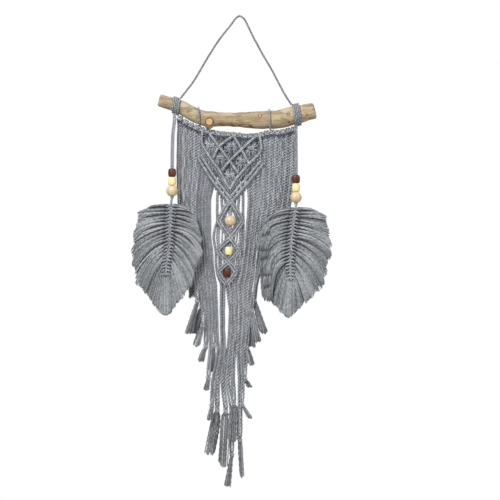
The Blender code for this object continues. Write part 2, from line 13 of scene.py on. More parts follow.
import bpy
import numpy as np
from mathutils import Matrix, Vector


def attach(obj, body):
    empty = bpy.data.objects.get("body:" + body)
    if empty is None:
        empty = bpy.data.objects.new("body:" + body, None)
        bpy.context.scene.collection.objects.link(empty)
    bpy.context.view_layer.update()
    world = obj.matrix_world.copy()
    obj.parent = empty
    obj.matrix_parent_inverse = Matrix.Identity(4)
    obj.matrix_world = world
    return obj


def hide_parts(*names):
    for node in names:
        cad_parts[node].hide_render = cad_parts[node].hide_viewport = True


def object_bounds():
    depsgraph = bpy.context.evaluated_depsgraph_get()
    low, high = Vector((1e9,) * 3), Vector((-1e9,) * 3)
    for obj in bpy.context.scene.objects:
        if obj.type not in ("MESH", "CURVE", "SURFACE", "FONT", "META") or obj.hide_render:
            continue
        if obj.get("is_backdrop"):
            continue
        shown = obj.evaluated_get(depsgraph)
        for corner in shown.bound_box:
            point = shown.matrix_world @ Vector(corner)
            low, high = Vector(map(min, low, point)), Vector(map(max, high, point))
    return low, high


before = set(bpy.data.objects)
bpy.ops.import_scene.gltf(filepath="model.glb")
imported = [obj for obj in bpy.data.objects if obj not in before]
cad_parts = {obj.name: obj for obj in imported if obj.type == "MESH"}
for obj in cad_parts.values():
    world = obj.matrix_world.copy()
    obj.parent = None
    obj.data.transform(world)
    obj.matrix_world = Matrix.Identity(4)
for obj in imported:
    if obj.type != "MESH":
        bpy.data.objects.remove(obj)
cad_box = [list(corner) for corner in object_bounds()]
MM = 0.001
chance = np.random.default_rng(11)
print("nodes:", ", ".join(sorted(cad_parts)))
print("box in mm:", [[round(value / MM) for value in corner] for corner in cad_box])

# %% [markdown]
# The photograph is taken from straight in front with a long lens, so hardly any perspective shows. A
# camera three metres away with a field 0.9 m wide gives the same view. The picture is square, so the
# sensor's width is also its height.

# %% The camera
FIELD, DISTANCE, SENSOR = 0.9, 3.0, 36.0
VIEW_MIDDLE = (0.018, -0.4194)  # x and z of the picture's middle

camera_data = bpy.data.cameras.new("front_camera")
camera_data.sensor_width = SENSOR
camera_data.lens = SENSOR * DISTANCE / FIELD
camera_data.clip_end = 20
camera = bpy.data.objects.new("front_camera", camera_data)
camera.location = (VIEW_MIDDLE[0], -DISTANCE, VIEW_MIDDLE[1])
camera.rotation_euler = (math.pi / 2, 0, 0)
bpy.context.collection.objects.link(camera)
bpy.context.scene.camera = camera
print("lens in mm:", camera_data.lens)

# %% [markdown]
# Every mesh goes through one builder. It collects rings of points, skins the space between them with
# four-sided faces, and closes both ends with a fan of triangles, so that one object can hold hundreds of
# cords. Blender reads the numbers in bulk with foreach_set, which is far quicker than adding faces one
# by one. A whole cord also gets one shade number, because no two cords take the dye alike; on the yarns
# that fill a leaf from behind, a low shade number is painted shade. Every point also gets a number for
# how much shade is painted on it: in the grooves, in creases and where cords touch.


# %% A builder for skinned lines
PLIES = 3
GROOVE, PLY_BACK = 0.63, 0.97  # how far out a groove and a ply's back lie, as shares of the radius
PLY_POINTS = np.tile([GROOVE, PLY_BACK, PLY_BACK], PLIES)


class Skein:
    """Collects closed tubes, in millimetres, and turns them into one object in metres."""

    def __init__(self):
        self.points, self.corners, self.sizes, self.count = [], [], [], 0
        self.shades, self.painted_shades = [], []

    def add(self, rings, shade=None, closed=False, crease=0.0):
        """Adds one tube (rings, points round a ring, 3) or many. A closed tube joins its last ring to its
        first. The crease argument is the shade painted on each ring, or each of its points, from 0 to 1."""
        rings = np.asarray(rings, float)
        for number, tube in enumerate(rings if rings.ndim == 4 else [rings]):
            steps, sides = tube.shape[:2]
            first = self.count + np.arange(steps * sides).reshape(steps, sides)
            turned = np.roll(first, -1, axis=1)
            after = [np.roll(ring, -1, axis=0) for ring in (turned, first)]
            quads = np.stack([first, turned, *after], axis=-1)[: steps if closed else steps - 1]
            self.points.append(tube.reshape(-1, 3))
            self.corners.append(quads.ravel())
            self.sizes.append(np.full(quads.size // 4, 4))
            added = steps * sides
            if not closed:
                low, high = self.count + added, self.count + added + 1
                bottom = np.stack([turned[0], first[0], np.full(sides, low)], axis=-1)
                top = np.stack([first[-1], turned[-1], np.full(sides, high)], axis=-1)
                self.points.append(np.array([tube[0].mean(axis=0), tube[-1].mean(axis=0)]))
                self.corners += [bottom.ravel(), top.ravel()]
                self.sizes.append(np.full(2 * sides, 3))
                added += 2
            tone = chance.random() if shade is None else np.ravel(shade)[number % np.size(shade)]
            self.shades.append(np.full(added, tone))
            # Painted shade: each ring, or each point, is mixed this far towards the shadow colour, and the
            # groove points between the plies take the most.
            shade_to_paint = np.broadcast_to(crease[number] if np.ndim(crease) == 3 else crease, (steps, sides))
            if sides == len(PLY_POINTS):
                shade_to_paint = np.maximum(shade_to_paint, PLY_POINTS == GROOVE)
            self.painted_shades += [shade_to_paint.ravel(), np.zeros(added - steps * sides)]
            self.count += added

    def finish(self, name, *nodes, finish=None, slot="grey_cord"):
        """Makes the object, gives it a finish, which is the cord's if none is named, and sets it in the
        place of the nodes."""
        points = np.concatenate(self.points) * MM
        corners, sizes = np.concatenate(self.corners), np.concatenate(self.sizes)
        mesh = bpy.data.meshes.new(name)
        mesh.vertices.add(len(points))
        mesh.vertices.foreach_set("co", points.ravel())
        mesh.loops.add(len(corners))
        mesh.loops.foreach_set("vertex_index", corners.astype(np.int32))
        mesh.polygons.add(len(sizes))
        mesh.polygons.foreach_set("loop_start", (np.cumsum(sizes) - sizes).astype(np.int32))
        mesh.polygons.foreach_set("use_smooth", np.ones(len(sizes), bool))
        mesh.update(calc_edges=True)
        mesh.validate()
        # The shade attribute is each cord's own tone; the second attribute is how much shade is painted on
        # each point.
        for title, values in (("shade", self.shades), ("painted_shade", self.painted_shades)):
            mesh.attributes.new(title, "FLOAT", "POINT").data.foreach_set("value", np.concatenate(values))
        made = bpy.data.objects.new(name, mesh)
        bpy.context.collection.objects.link(made)
        mesh.materials.append(finish or cord_finish)
        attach(made, "root")
        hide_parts(*nodes)
        print(f"{name}: {(sizes - 2).sum()} triangles")
        return made


print("points round a cord:", len(PLY_POINTS))

# %% [markdown]
# A line must be smooth and evenly spaced before it is skinned. These helpers read a smooth curve
# through a few points, space it evenly, and carry a pair of directions along it that never spin by
# themselves. With such a pair any twist in the cord is the one that we ask for.


# %% Smooth lines
def together(x, y, z):
    """Points from their coordinates, each of which is one number or many."""
    return np.stack(np.broadcast_arrays(x, y, z), axis=-1)


def circle(count):
    """Angles evenly spread round a circle."""
    return math.tau * np.arange(count) / count


def reach_along(points):
    """How far along its line each point lies. Many lines may be measured at once."""
    step = np.linalg.norm(np.diff(points, axis=-2), axis=-1)
    return np.concatenate([np.zeros_like(step[..., :1]), np.cumsum(step, axis=-1)], axis=-1)


def read_at(places, reach, points):
    """The points of a line at these places, where reach says how far along each known point lies."""
    return np.stack([np.interp(places, reach, axis) for axis in np.transpose(points)], axis=-1)


def evenly(points, step):
    """The same line with points about step apart."""
    reach = reach_along(points)
    count = max(2, int(round(reach[-1] / step)) + 1)
    return read_at(np.linspace(0, reach[-1], count), reach, points)


def smooth(points, step):
    """A smooth curve through the points, evenly spaced."""
    points = np.asarray(points, float)
    ends = np.vstack([2 * points[0] - points[1], points, 2 * points[-1] - points[-2]])
    a, b, c, d = ends[:-3, None], ends[1:-2, None], ends[2:-1, None], ends[3:, None]
    t = np.linspace(0, 1, 16, endpoint=False)[None, :, None]
    square, cube = 2 * a - 5 * b + 4 * c - d, 3 * b - a - 3 * c + d
    dense = (2 * b + (c - a) * t + square * t**2 + cube * t**3) / 2
    return evenly(np.vstack([dense.reshape(-1, 3), points[-1]]), step)


def carried_frames(line):
    """Directions across and deep at each point of a line, turned along it without spin."""
    along = np.gradient(line, axis=0)
    along /= np.linalg.norm(along, axis=1, keepdims=True)
    start = np.cross(along[0], (0, 1, 0))
    if np.linalg.norm(start) < 0.1:
        start = np.cross(along[0], (1, 0, 0))
    across = np.empty_like(line)
    across[0] = start / np.linalg.norm(start)
    for i in range(1, len(line)):
        turned = across[i - 1] - along[i] * np.dot(across[i - 1], along[i])
        across[i] = turned / np.linalg.norm(turned)
    return across, np.cross(along, across)


def around_line(across, deep, angle):
    """Steps of length one, out from each point of a line, at these angles from across towards deep."""
    return across[..., None, :] * np.cos(angle)[..., None] + deep[..., None, :] * np.sin(angle)[..., None]


corner = smooth([(0, 0, 0), (10, 0, 0), (10, 0, 10)], 1.0)
print("a smooth corner in points:", len(corner), "and its length in mm:", round(reach_along(corner)[-1], 1))

# %% [markdown]
# A macrame cord is three plies twisted together. Seen end on it is a rounded shape with three grooves,
# and along the cord that shape turns round once in about three diameters. Skinning the grooved shape
# while it turns gives true grooves that catch the light, which a bump texture on a plain pipe can't do
# at the outline. Nine points are enough for a ring: two on each ply and one in each groove. Shade is
# also painted on the groove points.

# %% Twisted cord
TWIST_LENGTH = 15.5  # one full turn, in mm
# Shade is painted on a cord's two sides, where its neighbours touch it: from this share of the radius out,
# rising over this band.
SIDE_SHADE_FROM, SIDE_SHADE_BAND = 0.45, 0.5  # pressed cords darken from this share of the radius outwards


def twisted_rings(line, radius, start, loose):
    """Rings for one cord. loose says how far its twist has opened at each point."""
    turns = np.diff(reach_along(line)) / (TWIST_LENGTH * loose[1:])
    spin = start + math.tau * np.concatenate([[0], np.cumsum(turns)])
    reach = (radius[:, None] * PLY_POINTS)[..., None]
    return line[:, None] + around_line(*carried_frames(line), spin[:, None] + circle(len(PLY_POINTS))) * reach


def add_cord(
    skein, points, radius, step=1.7, shade=None, smoothed=True, crease=0.0, painted_side_shade=0.0, loose=1.0
):
    """The crease argument paints shade along the cord's line, and the pressed argument paints shade on
    its two sides, where its neighbours touch it. radius, crease and loose are one number each, or some
    numbers from the cord's start to its end."""
    line = smooth(points, step) if smoothed else evenly(points, step)
    share = np.linspace(0, 1, len(line))
    given = [np.ravel(value) for value in (radius, crease, loose)]
    radius, crease, loose = (np.interp(share, np.linspace(0, 1, len(value)), value) for value in given)
    rings = twisted_rings(line, radius, chance.random() * math.tau, loose)
    # Painted shade on the sides of the cord that face left and right.
    aside = np.abs(rings[..., 0] - line[:, :1]) / radius[:, None]
    shade_to_paint = np.maximum(crease[:, None], painted_side_shade * np.clip((aside - SIDE_SHADE_FROM) / SIDE_SHADE_BAND, 0, 1))
    skein.add(rings, shade, crease=shade_to_paint)
    return line


print("one turn of the twist in mm:", TWIST_LENGTH)

# %% [markdown]
# Finishes are built from shader nodes, but written as sums. One small class holds a socket: adding or
# multiplying two of them adds a Math node, blending colours adds a Mix node, and every other node comes
# from the method called node. A colour must not go through a Math node, because that turns it grey.


# %% Shader sums
class Wire:
    """A shader socket that can stand in a sum."""

    def __init__(self, tree, socket):
        self.tree, self.socket = tree, socket

    def node(self, kind, settings, inputs, out=0):
        made = self.tree.nodes.new(kind)
        for name, value in settings.items():
            setattr(made, name, value)
        for name, value in inputs.items():
            if isinstance(value, Wire):
                self.tree.links.new(value.socket, made.inputs[name])
            else:
                made.inputs[name].default_value = value
        return Wire(self.tree, made.outputs[out])

    def math(self, operation, *values):
        return self.node("ShaderNodeMath", {"operation": operation}, dict(enumerate(values)))

    def __add__(self, other):
        return self.math("ADD", self, other)

    def __sub__(self, other):
        return self.math("SUBTRACT", self, other)

    def __rsub__(self, other):
        return self.math("SUBTRACT", other, self)

    def __mul__(self, other):
        return self.math("MULTIPLY", self, other)

    __radd__, __rmul__ = __add__, __mul__

    def between(self, low, high):
        """0 below low and 1 above high, with a soft step between them."""
        inputs = {"Value": self, "From Min": low, "From Max": high}
        return self.node("ShaderNodeMapRange", {"interpolation_type": "SMOOTHSTEP"}, inputs)

    def colours(self, first, second):
        """The first colour where this is 0, the second where it is 1. Each is a wire or a screen colour."""
        first, second = (each if isinstance(each, Wire) else colour(*each) for each in (first, second))
        return self.node("ShaderNodeMix", {"data_type": "RGBA"}, {0: self, 6: first, 7: second}, out=2)

    def attribute(self, name):
        return self.node("ShaderNodeAttribute", {"attribute_name": name}, {}, out=2)

    def stretched(self, scale, turn=(0, 0, 0)):
        return self.node("ShaderNodeMapping", {}, {"Vector": self, "Scale": scale, "Rotation": turn})

    def noise(self, scale, detail=3.0, rough=0.55, wander=0.0):
        inputs = {"Vector": self, "Scale": scale, "Detail": detail, "Roughness": rough, "Distortion": wander}
        return self.node("ShaderNodeTexNoise", {}, inputs)

    def away_from(self, place):
        """The distance from a place, in the vector's own unit."""
        return self.node("ShaderNodeVectorMath", {"operation": "DISTANCE"}, {0: self, 1: place}, out=1)


print("shader sums are ready")

# %% [markdown]
# Every finish starts from Blender's Principled shader. One helper makes the material and hands back the
# piece's own coordinates, one joins a wire to the shader, one turns a pattern into a bump, and one turns
# a colour as a screen shows it into the linear light that shaders reckon with.


# %% Helpers for finishes
def new_finish(name, roughness, **sockets):
    """A material, its shader, and the piece's own coordinates as a wire."""
    made = bpy.data.materials.new(name)
    made.use_nodes = True
    tree = made.node_tree
    shader = tree.nodes["Principled BSDF"]
    shader.inputs["Roughness"].default_value = roughness
    for socket, value in sockets.items():
        shader.inputs[socket.replace("_", " ")].default_value = value
    place = Wire(tree, tree.nodes.new("ShaderNodeTexCoord").outputs["Object"])
    return made, shader, place


def feed(shader, name, wire):
    wire.tree.links.new(wire.socket, shader.inputs[name])


def raise_by(wire, strength, distance):
    return wire.node("ShaderNodeBump", {}, {"Strength": strength, "Distance": distance, "Height": wire})


def colour(red, green, blue):
    """A colour as a screen shows it, from 0 to 255, turned into the linear light that shaders use."""
    straight = [value / 255 for value in (red, green, blue)]
    light = [v / 12.92 if v <= 0.04045 else ((v + 0.055) / 1.055) ** 2.4 for v in straight]
    return (*light, 1.0)


print("mid grey as light:", [round(value, 3) for value in colour(128, 128, 128)])

# %% [markdown]
# The cord is matt cotton, dyed a cool grey. Dye takes unevenly, so four things vary: one tone for each
# whole cord, soft patches a few centimetres long, specks of a few millimetres, and fine fibre flecks.
# Cotton scatters light at its edges, which the shader's sheen gives. The fibres themselves are only a
# fine bump. Shade is painted into the colour as a mix towards a dark shadow colour. Combed-out yarn is
# the same cotton, but its loose ends trap more shadow, so its colours are painted darker for that shade.

# %% Cotton finishes
# The painted shade: at its deepest, the colour goes this far towards the shadow colour.
PAINTED_SHADE_MAX = 0.86  # how far the deepest groove goes to the shadow's colour


def cotton(name, dark, light, shadow, fleck, own_tone, speckled):
    """own_tone is how far whole cords differ, and speckled how far the specks do. Fibres take the rest."""
    made, shader, place = new_finish(name, 0.92, Sheen_Weight=0.22, Sheen_Roughness=0.45)
    patch = place.noise(28.0, 2.0).between(0.3, 0.7)
    speck = place.noise(300.0, 1.0).between(0.32, 0.68)
    fibre = place.noise(fleck, 3.0, 0.7)
    tone = place.attribute("shade") * own_tone + patch * 0.2
    tone = tone + (speck - 0.5) * speckled + fibre * (0.8 - own_tone)
    dyed = tone.between(0.12, 0.88).colours(dark, light)
    # Painted shade: the dyed colour is mixed towards the shadow colour as far as each point's painted-shade
    # number says.
    feed(shader, "Base Color", (place.attribute("painted_shade") * PAINTED_SHADE_MAX).colours(dyed, shadow))
    feed(shader, "Roughness", 0.98 - fibre * 0.14)
    feed(shader, "Normal", raise_by(fibre, 0.55, 0.0004))
    return made


cord_finish = cotton("cord_cotton", (152, 156, 163), (206, 210, 216), (54, 56, 62), 1500.0, 0.28, 0.65)
# Yarn takes darker colours than the cord: painted shade, for the shadow that its loose ends trap.
yarn_finish_painted_shade = cotton("yarn_cotton_painted_shade", (118, 121, 125), (189, 192, 196), (56, 58, 63), 1900.0, 0.44, 0.2)
print("cotton finishes:", cord_finish.name, yarn_finish_painted_shade.name)

# %% [markdown]
# Peeled driftwood shows grain as long soft streaks along the stick, weathered to a pale tan with grey and
# brown stains, and fine dark checks. Noise that is squeezed across the grain gives streaks. Where a side
# branch was cut off, the wood is orange and ringed. Those rings are drawn by the distance to the knot.


# %% Driftwood
STUB, STUB_FRONT = (-55.0, -189.5), -17.8  # the cut knot on the front: x and z, and how far it stands out
SMALL_KNOT = (35.6, -178.2)
WOOD_KNOTS = (
    # place in mm, how far it is drawn out along the stick (1 is round), inner and outer reach in mm
    ((STUB[0], STUB_FRONT, STUB[1]), 1.0, 6.6, 9.4),
    ((SMALL_KNOT[0], -15.0, SMALL_KNOT[1]), 1.0, 2.6, 4.6),
    ((8.0, -8.5, -197.0), 0.28, 2.6, 4.4),
    ((-14.0, -8.0, -198.0), 0.6, 2.6, 4.4),
    ((86.5, -16.5, -176.0), 0.8, 1.2, 3.4),
    ((87.7, -15.0, -190.8), 0.9, 0.6, 2.6),
    ((121.0, -15.0, -177.7), 0.5, 0.5, 2.2),
)
SAWN_ENDS = ((0.1352, 0.1362), (-0.1452, -0.1462))  # x in metres, where the sawn wood starts and is full
RING_DENSITY = 3200.0  # how fast the year rings of a knot follow each other, in radians a metre


def driftwood():
    made, shader, place = new_finish("driftwood", 0.78)
    streak = place.stretched((9.0, 60.0, 60.0), (0, 0.03, 0)).noise(2.2, 5.0, 0.6, 0.35)
    fine = place.stretched((40.0, 420.0, 420.0)).noise(1.6, 3.0, 0.6, 0.2)
    stain = place.stretched((16.0, 26.0, 26.0)).noise(1.5, 4.0, 0.62)
    mottle = place.stretched((60.0, 90.0, 90.0)).noise(1.3, 3.0, 0.6)
    ripple = place.noise(240.0, 2.0)
    wood = streak.between(0.3, 0.72).colours((150, 131, 101), (192, 173, 143))
    layers = (
        # where, how strongly, colour
        (fine.between(0.46, 0.32), 0.6, (112, 91, 64)),
        (stain.between(0.54, 0.66), 0.65, (124, 102, 74)),
        (stain.between(0.45, 0.33), 0.65, (204, 188, 160)),
        (mottle.between(0.58, 0.68), 0.5, (112, 90, 62)),
    )
    for where, amount, tint in layers:
        wood = (where * amount).colours(wood, tint)
    for (x, y, z), flat, inner, outer in WOOD_KNOTS:
        inner, outer = inner * MM, outer * MM
        drawn = place.stretched((flat, 1.0, 1.0))
        far = drawn.away_from((x * MM * flat, y * MM, z * MM)) + (ripple - 0.5) * 0.0034
        ring = far.between(inner * 0.8, inner) * (1 - far.between(outer * 0.8, outer))
        heart = 1 - far.between(inner * 0.75, inner)
        rings = far.math("SINE", far * RING_DENSITY).between(-0.6, 0.9)
        wood = (heart * 0.85).colours(wood, rings.colours((196, 150, 92), (218, 184, 134)))
        wood = (ring * 0.78).colours(wood, (88, 58, 33))
    sideways = place.node("ShaderNodeSeparateXYZ", {}, {"Vector": place})
    right_end, left_end = (sideways.between(*reach) for reach in SAWN_ENDS)
    wood = ((right_end + left_end) * 0.85).colours(wood, ripple.colours((168, 142, 104), (214, 192, 156)))
    feed(shader, "Base Color", wood)
    feed(shader, "Roughness", 0.88 - streak * 0.22)
    feed(shader, "Normal", raise_by(streak * 0.5 + fine * 0.5, 0.6, 0.0009))
    return made


wood_finish = driftwood()
print("knots drawn on the wood:", len(WOOD_KNOTS))

# %% [markdown]
# The beads are turned from three woods. The natural ones are pale with short darker pores, the yellow
# ones are stained and show almost no figure, and the dark ones are stained brown with streaks that stay
# visible. All are lightly lacquered, so they carry a thin clear coat over the wood.

# %% Bead woods
BEAD_WOODS = {
    # dark and light grain, pores, strength of the clear coat, how soft the grain's steps are
    "natural": ((204, 174, 134), (232, 212, 178), (160, 124, 86), 0.1, 0.22),
    "yellow": ((240, 220, 150), (252, 240, 186), (214, 186, 120), 0.2, 0.3),
    "dark": ((52, 16, 2), (116, 50, 8), (30, 10, 2), 0.1, 0.2),
}
GRAIN_LEAN = (0.5, 0.3, 0.0)


def bead_wood(name, dark, light, pore, coat, soft):
    made, shader, place = new_finish(name, 0.42, Coat_Weight=coat, Coat_Roughness=0.25)
    grain = place.stretched((320.0, 320.0, 70.0), GRAIN_LEAN).noise(1.0, 4.0, 0.6, 0.6)
    pores = place.stretched((1500.0, 1500.0, 420.0), GRAIN_LEAN).noise(1.0, 2.0, 0.5)
    wood = grain.between(0.5 - soft, 0.5 + soft).colours(dark, light)
    feed(shader, "Base Color", (pores.between(0.60, 0.70) * 0.45).colours(wood, pore))
    feed(shader, "Roughness", 0.36 + grain * 0.2)
    feed(shader, "Normal", raise_by(grain * 0.6 + pores * 0.4, 0.25, 0.0004))
    return made


bead_finishes = {wood: bead_wood(f"bead_{wood}", *row) for wood, row in BEAD_WOODS.items()}
print("bead finishes:", ", ".join(bead_finishes))

# %% [markdown]
# The hanger is a single cord that goes from the left binding, over the nail, and down to the right
# binding. The weight keeps it taut, so its two halves are nearly straight and it bends only over the
# nail.

# %% The hanger cord
HANGER_ROUTE = (
    (-106.8, -1.0, -146.3), (-95, -0.6, -131), (-83.9, -0.3, -116.3), (-73.5, 0, -99.3),
    (-63.4, 0, -81.9), (-52, 0, -63.2), (-40.3, 0, -45.0), (-27.5, 0, -28), (-15.5, 0, -13.2),
    (-8.5, 0, -3.5), (-0.4, 0, 1.7), (7.8, 0, -4.0), (13.5, 0, -14.5), (23.9, 0, -36.0), (32, 0, -51),
    (40.0, 0, -65.9), (56.2, 0, -93.4), (64, 0, -108.2), (72.0, 0, -123.3), (81.2, -1, -140.4),
    (92.9, -2, -158.4),
)
HANGER_RADIUS = 1.75
PLY_SWELL = 1.12  # the tops of the plies stand this much further out than a plain cord's side


def hanger():
    skein = Skein()
    thick = HANGER_RADIUS * PLY_SWELL
    # The hanger is painted darker all along, towards the shadow colour, and painted shade darkens its sides.
    path = add_cord(skein, HANGER_ROUTE, thick, step=1.2, shade=0.0, crease=0.4, painted_side_shade=0.8) * MM
    piece = skein.finish("hanger_cord_twisted", "hanger_cord")


hanger()

# %% [markdown]
# The branch is a peeled stick, bent a little and thicker towards its right end. Its sections give the
# middle and the girth. Slow bumps and fine ridges along the grain keep it from looking turned on a lathe.

# %% The branch's shape
BRANCH_SECTIONS = (
    # x, z, diameter
    (-146.5, -149.4, 17.0), (-143, -150.2, 21.8), (-124, -156, 21.8), (-105, -163.8, 23.4),
    (-88.6, -173, 24.5), (-70, -181, 26.0), (-54, -183.2, 29.0), (-33.5, -184, 25.2), (-1, -185.4, 25.6),
    (28.6, -185.4, 29.6), (51.5, -184.5, 31.5), (67.5, -184.6, 32.0), (81.4, -181.8, 34.0),
    (93, -178.2, 34.0), (109, -174.6, 32.0), (132, -168.3, 29.0), (136, -167.2, 24.0),
)
BRANCH_X, BRANCH_Z, BRANCH_WIDE = np.transpose(BRANCH_SECTIONS)


def branch_axis(x):
    """The height of the branch's middle and its radius."""
    return np.interp(x, BRANCH_X, BRANCH_Z), np.interp(x, BRANCH_X, BRANCH_WIDE) / 2


def swelling(angle, x):
    """How far the surface stands out, in mm, from slow bumps and from ridges along the grain."""
    slow = 0.55 * np.sin(2 * angle + x * 0.045) + 0.4 * np.sin(3 * angle - x * 0.07 + 1.1)
    bumps = 0.35 * np.sin(x * 0.31 + 2.1 * np.sin(angle + 0.6)) * np.cos(angle * 2 + x * 0.05)
    ridges = 0.16 * np.sin(17 * angle + x * 0.06 + 1.5 * np.sin(x * 0.043))
    ridges += 0.10 * np.sin(31 * angle - x * 0.09 + 2 * np.sin(x * 0.07))
    return slow + bumps + ridges


print("the branch is", round(BRANCH_X[-1] - BRANCH_X[0]), "mm long")

# %% [markdown]
# The rings follow a smooth curve through the sections and swell over the knots on the front. Both ends
# are sawn, so the last rings round over quickly and close flat. The cut side branch is a second short
# tube that stands out of the front.

# %% Skinning the branch
BRANCH_SIDES, BRANCH_STEP, AVERAGED = 96, 1.3, 13  # AVERAGED steps share one girth, so it changes slowly
BUMPS = (
    # x, z, reach sideways, height: where the wood swells over a knot
    (*STUB, 9.0, 2.4),
    (*SMALL_KNOT, 6.0, 1.0),
    (-12.0, -197.5, 6.0, 1.6),
    (78.0, -186.0, 7.0, 0.8),
)
END_STEPS = ((0.97, 0.7), (0.90, 2.0), (0.82, 2.8), (0.55, 3.0), (0.25, 2.9))  # share of the girth, way out
STUB_RINGS = (
    # way out from the middle of the branch, radius
    (-9, 10.5), (-14.5, 8.3), (-16.3, 7.4), (-17.4, 6.9), (-17.8, 6.2), (-17.2, 5.2), (-17.0, 2.0),
)


def branch():
    middle = smooth([(x, 0.0, z) for x, z, _ in BRANCH_SECTIONS[1:-1]], BRANCH_STEP)
    radius = np.interp(middle[:, 0], BRANCH_X[1:-1], BRANCH_WIDE[1:-1]) / 2
    radius = np.convolve(np.pad(radius, AVERAGED // 2, mode="edge"), np.ones(AVERAGED) / AVERAGED, "valid")
    angle = circle(BRANCH_SIDES)[None]
    reach = radius[:, None] + swelling(angle, middle[:, :1])
    rings = middle[:, None] + around_line(*carried_frames(middle), angle) * reach[..., None]
    for x, z, wide, high in BUMPS:
        gap = np.hypot(rings[..., 0] - x, rings[..., 2] - z)
        rings[..., 1] -= high * np.exp(-((gap / wide) ** 2)) * (rings[..., 1] < 0)
    ends = []
    for end, out in ((rings[0], (-0.97, 0, 0.22)), (rings[-1], (0.97, 0, 0.22))):
        centre = end.mean(axis=0)
        ends.append([centre + (end - centre) * share + np.array(out) * far for share, far in END_STEPS])
    skein = Skein()
    skein.add(np.vstack([ends[0][::-1], rings, ends[1]]), shade=0.5)
    angle = circle(BRANCH_SIDES // 2)
    uneven = 1 + 0.05 * np.sin(3 * angle + 0.7) + 0.03 * np.sin(7 * angle)
    aside, up = np.cos(angle) * uneven, np.sin(angle) * uneven * 1.25
    stub = [together(STUB[0] + aside * wide, far, STUB[1] + up * wide) for far, wide in STUB_RINGS]
    skein.add(stub, shade=0.5)
    skein.finish("branch_peeled", "branch", finish=wood_finish, slot="driftwood")


branch()

# %% [markdown]
# Each binding is three or four turns of cord round the wood. They hold the hanger's end and the feather's
# straps. A single turn near each end of the bare middle carries the heading. A turn follows the branch's
# own outline at the cord's radius plus a little air, so it never cuts into the wood.

# %% Bindings and ties
WINDINGS = (
    # name, x of the branch's axis at the first and last turn, turns, lean in mm, cord radius
    ("binding_left", -121.2, -108.8, 4, -3.0, 1.75),
    ("binding_right", 96.6, 108.4, 4, 2.7, 1.75),
    ("tie_left", -74.3, -72.3, 1, -6.1, 1.5),
    ("tie_right", 52.0, 54.6, 1, 0.0, 1.45),
)
SLOPE_REACH = 6.0  # the branch's slope is taken from this far beside the turns
WINDING_AIR, TURN_POINTS = 0.9, 40


def winding(name, first_x, last_x, turns, lean, radius):
    turn = np.linspace(0, turns, TURN_POINTS * turns + 1)
    angle = turn * math.tau
    x = first_x + (last_x - first_x) * turn / turns
    z, wood = branch_axis(x)
    rise = branch_axis(last_x + SLOPE_REACH)[0] - branch_axis(first_x - SLOPE_REACH)[0]
    slope = rise / (last_x - first_x + 2 * SLOPE_REACH)
    reach = wood + radius + WINDING_AIR
    out, shift = np.sin(angle) * reach, lean * np.sin(angle)
    tilted = np.array((shift - slope * out, out + slope * shift)) / math.hypot(slope, 1)
    line = together(x + tilted[0], np.cos(angle) * reach, z + tilted[1])
    skein = Skein()
    # Shade is painted on the sides of the turns, where the turns touch each other.
    add_cord(skein, line, radius, step=1.2, smoothed=False, painted_side_shade=0.6)
    skein.finish(name + "_wound", name)


for row in WINDINGS:
    winding(*row)

# %% [markdown]
# The panel hangs from 22 lark's heads: a cord is folded in half, its fold goes behind the heading cord,
# and its two ends come over the top and down through the fold. That makes 44 strands. From in front a
# lark's head shows two short turns over the heading cord and one bar across them. One line per knot
# draws it all, and the same line is laid along the heading wherever that slopes.

# %% The heading
HEADING = (
    # x, z
    (-112.5, -181.5), (-104.4, -184.4), (-95.4, -191.8), (-88.6, -195.0), (-70.2, -203.2), (-54, -207.6),
    (-34.2, -211.0), (-7.2, -212.6), (10.8, -215.1), (27, -214.7), (39.6, -212.0), (51.5, -208.5),
    (67.5, -208.8), (81, -206.6), (92.9, -203.2), (101.7, -201.3),
)
HEADING_START, STRANDS = HEADING[0][0], 44
STRAND_PITCH = (HEADING[-1][0] - HEADING_START) / STRANDS
LARKS_HEAD = (
    # along the heading, towards the wall, up, radius, painted shade: half a knot, from its strand to its bar
    (-2.2, -0.6, -8.5, 2.1, 0.5),
    (-2.1, -3.0, -4.4, 2.2, 0.6),
    (-2.0, -4.6, -0.6, 2.5, 0.3),
    (-2.1, -3.6, 2.4, 2.75, 0.05),
    (-2.1, 0.2, 3.2, 2.75, 0.2),
    (-2.2, 3.2, 1.2, 2.4, 0.8),
    (-3.0, 2.4, -2.0, 2.1, 0.95),
    (-3.9, -1.6, -2.8, 2.2, 0.85),
    (-3.3, -5.2, -2.0, 2.5, 0.25),
    (-1.4, -6.9, -1.5, 2.6, 0.05),
)
HEADING_CORD_RADIUS = 2.2


def heading_z(x):
    return float(np.interp(x, *np.transpose(HEADING)))


def heading():
    skein = Skein()
    add_cord(skein, [(x, 0.0, z) for x, z in HEADING], HEADING_CORD_RADIUS)
    half = np.array(LARKS_HEAD)
    whole = np.vstack([half, half[::-1] * (-1, 1, 1, 1, 1)])
    radius, shade_to_paint = whole[:, 3:].T
    for head in range(STRANDS // 2):
        x = HEADING_START + (2 * head + 1) * STRAND_PITCH
        slope = math.atan2(heading_z(x + 4) - heading_z(x - 4), 8.0) * 0.7
        local = whole[:, :3] * (1, 1, 1 + 0.06 * chance.standard_normal())
        aside, y, up = (local + chance.normal(0, 0.12, local.shape)).T
        sine, cosine = math.sin(slope), math.cos(slope)
        knot = together(x + aside * cosine - up * sine, y, heading_z(x) + aside * sine + up * cosine)
        # Painted shade where the knot's cord runs under and behind itself, and on the sides where the knots
        # touch.
        add_cord(skein, knot, radius, step=1.2, shade=0.2, crease=shade_to_paint, painted_side_shade=0.6)
    skein.finish("panel_heading", "macrame_panel")


heading()
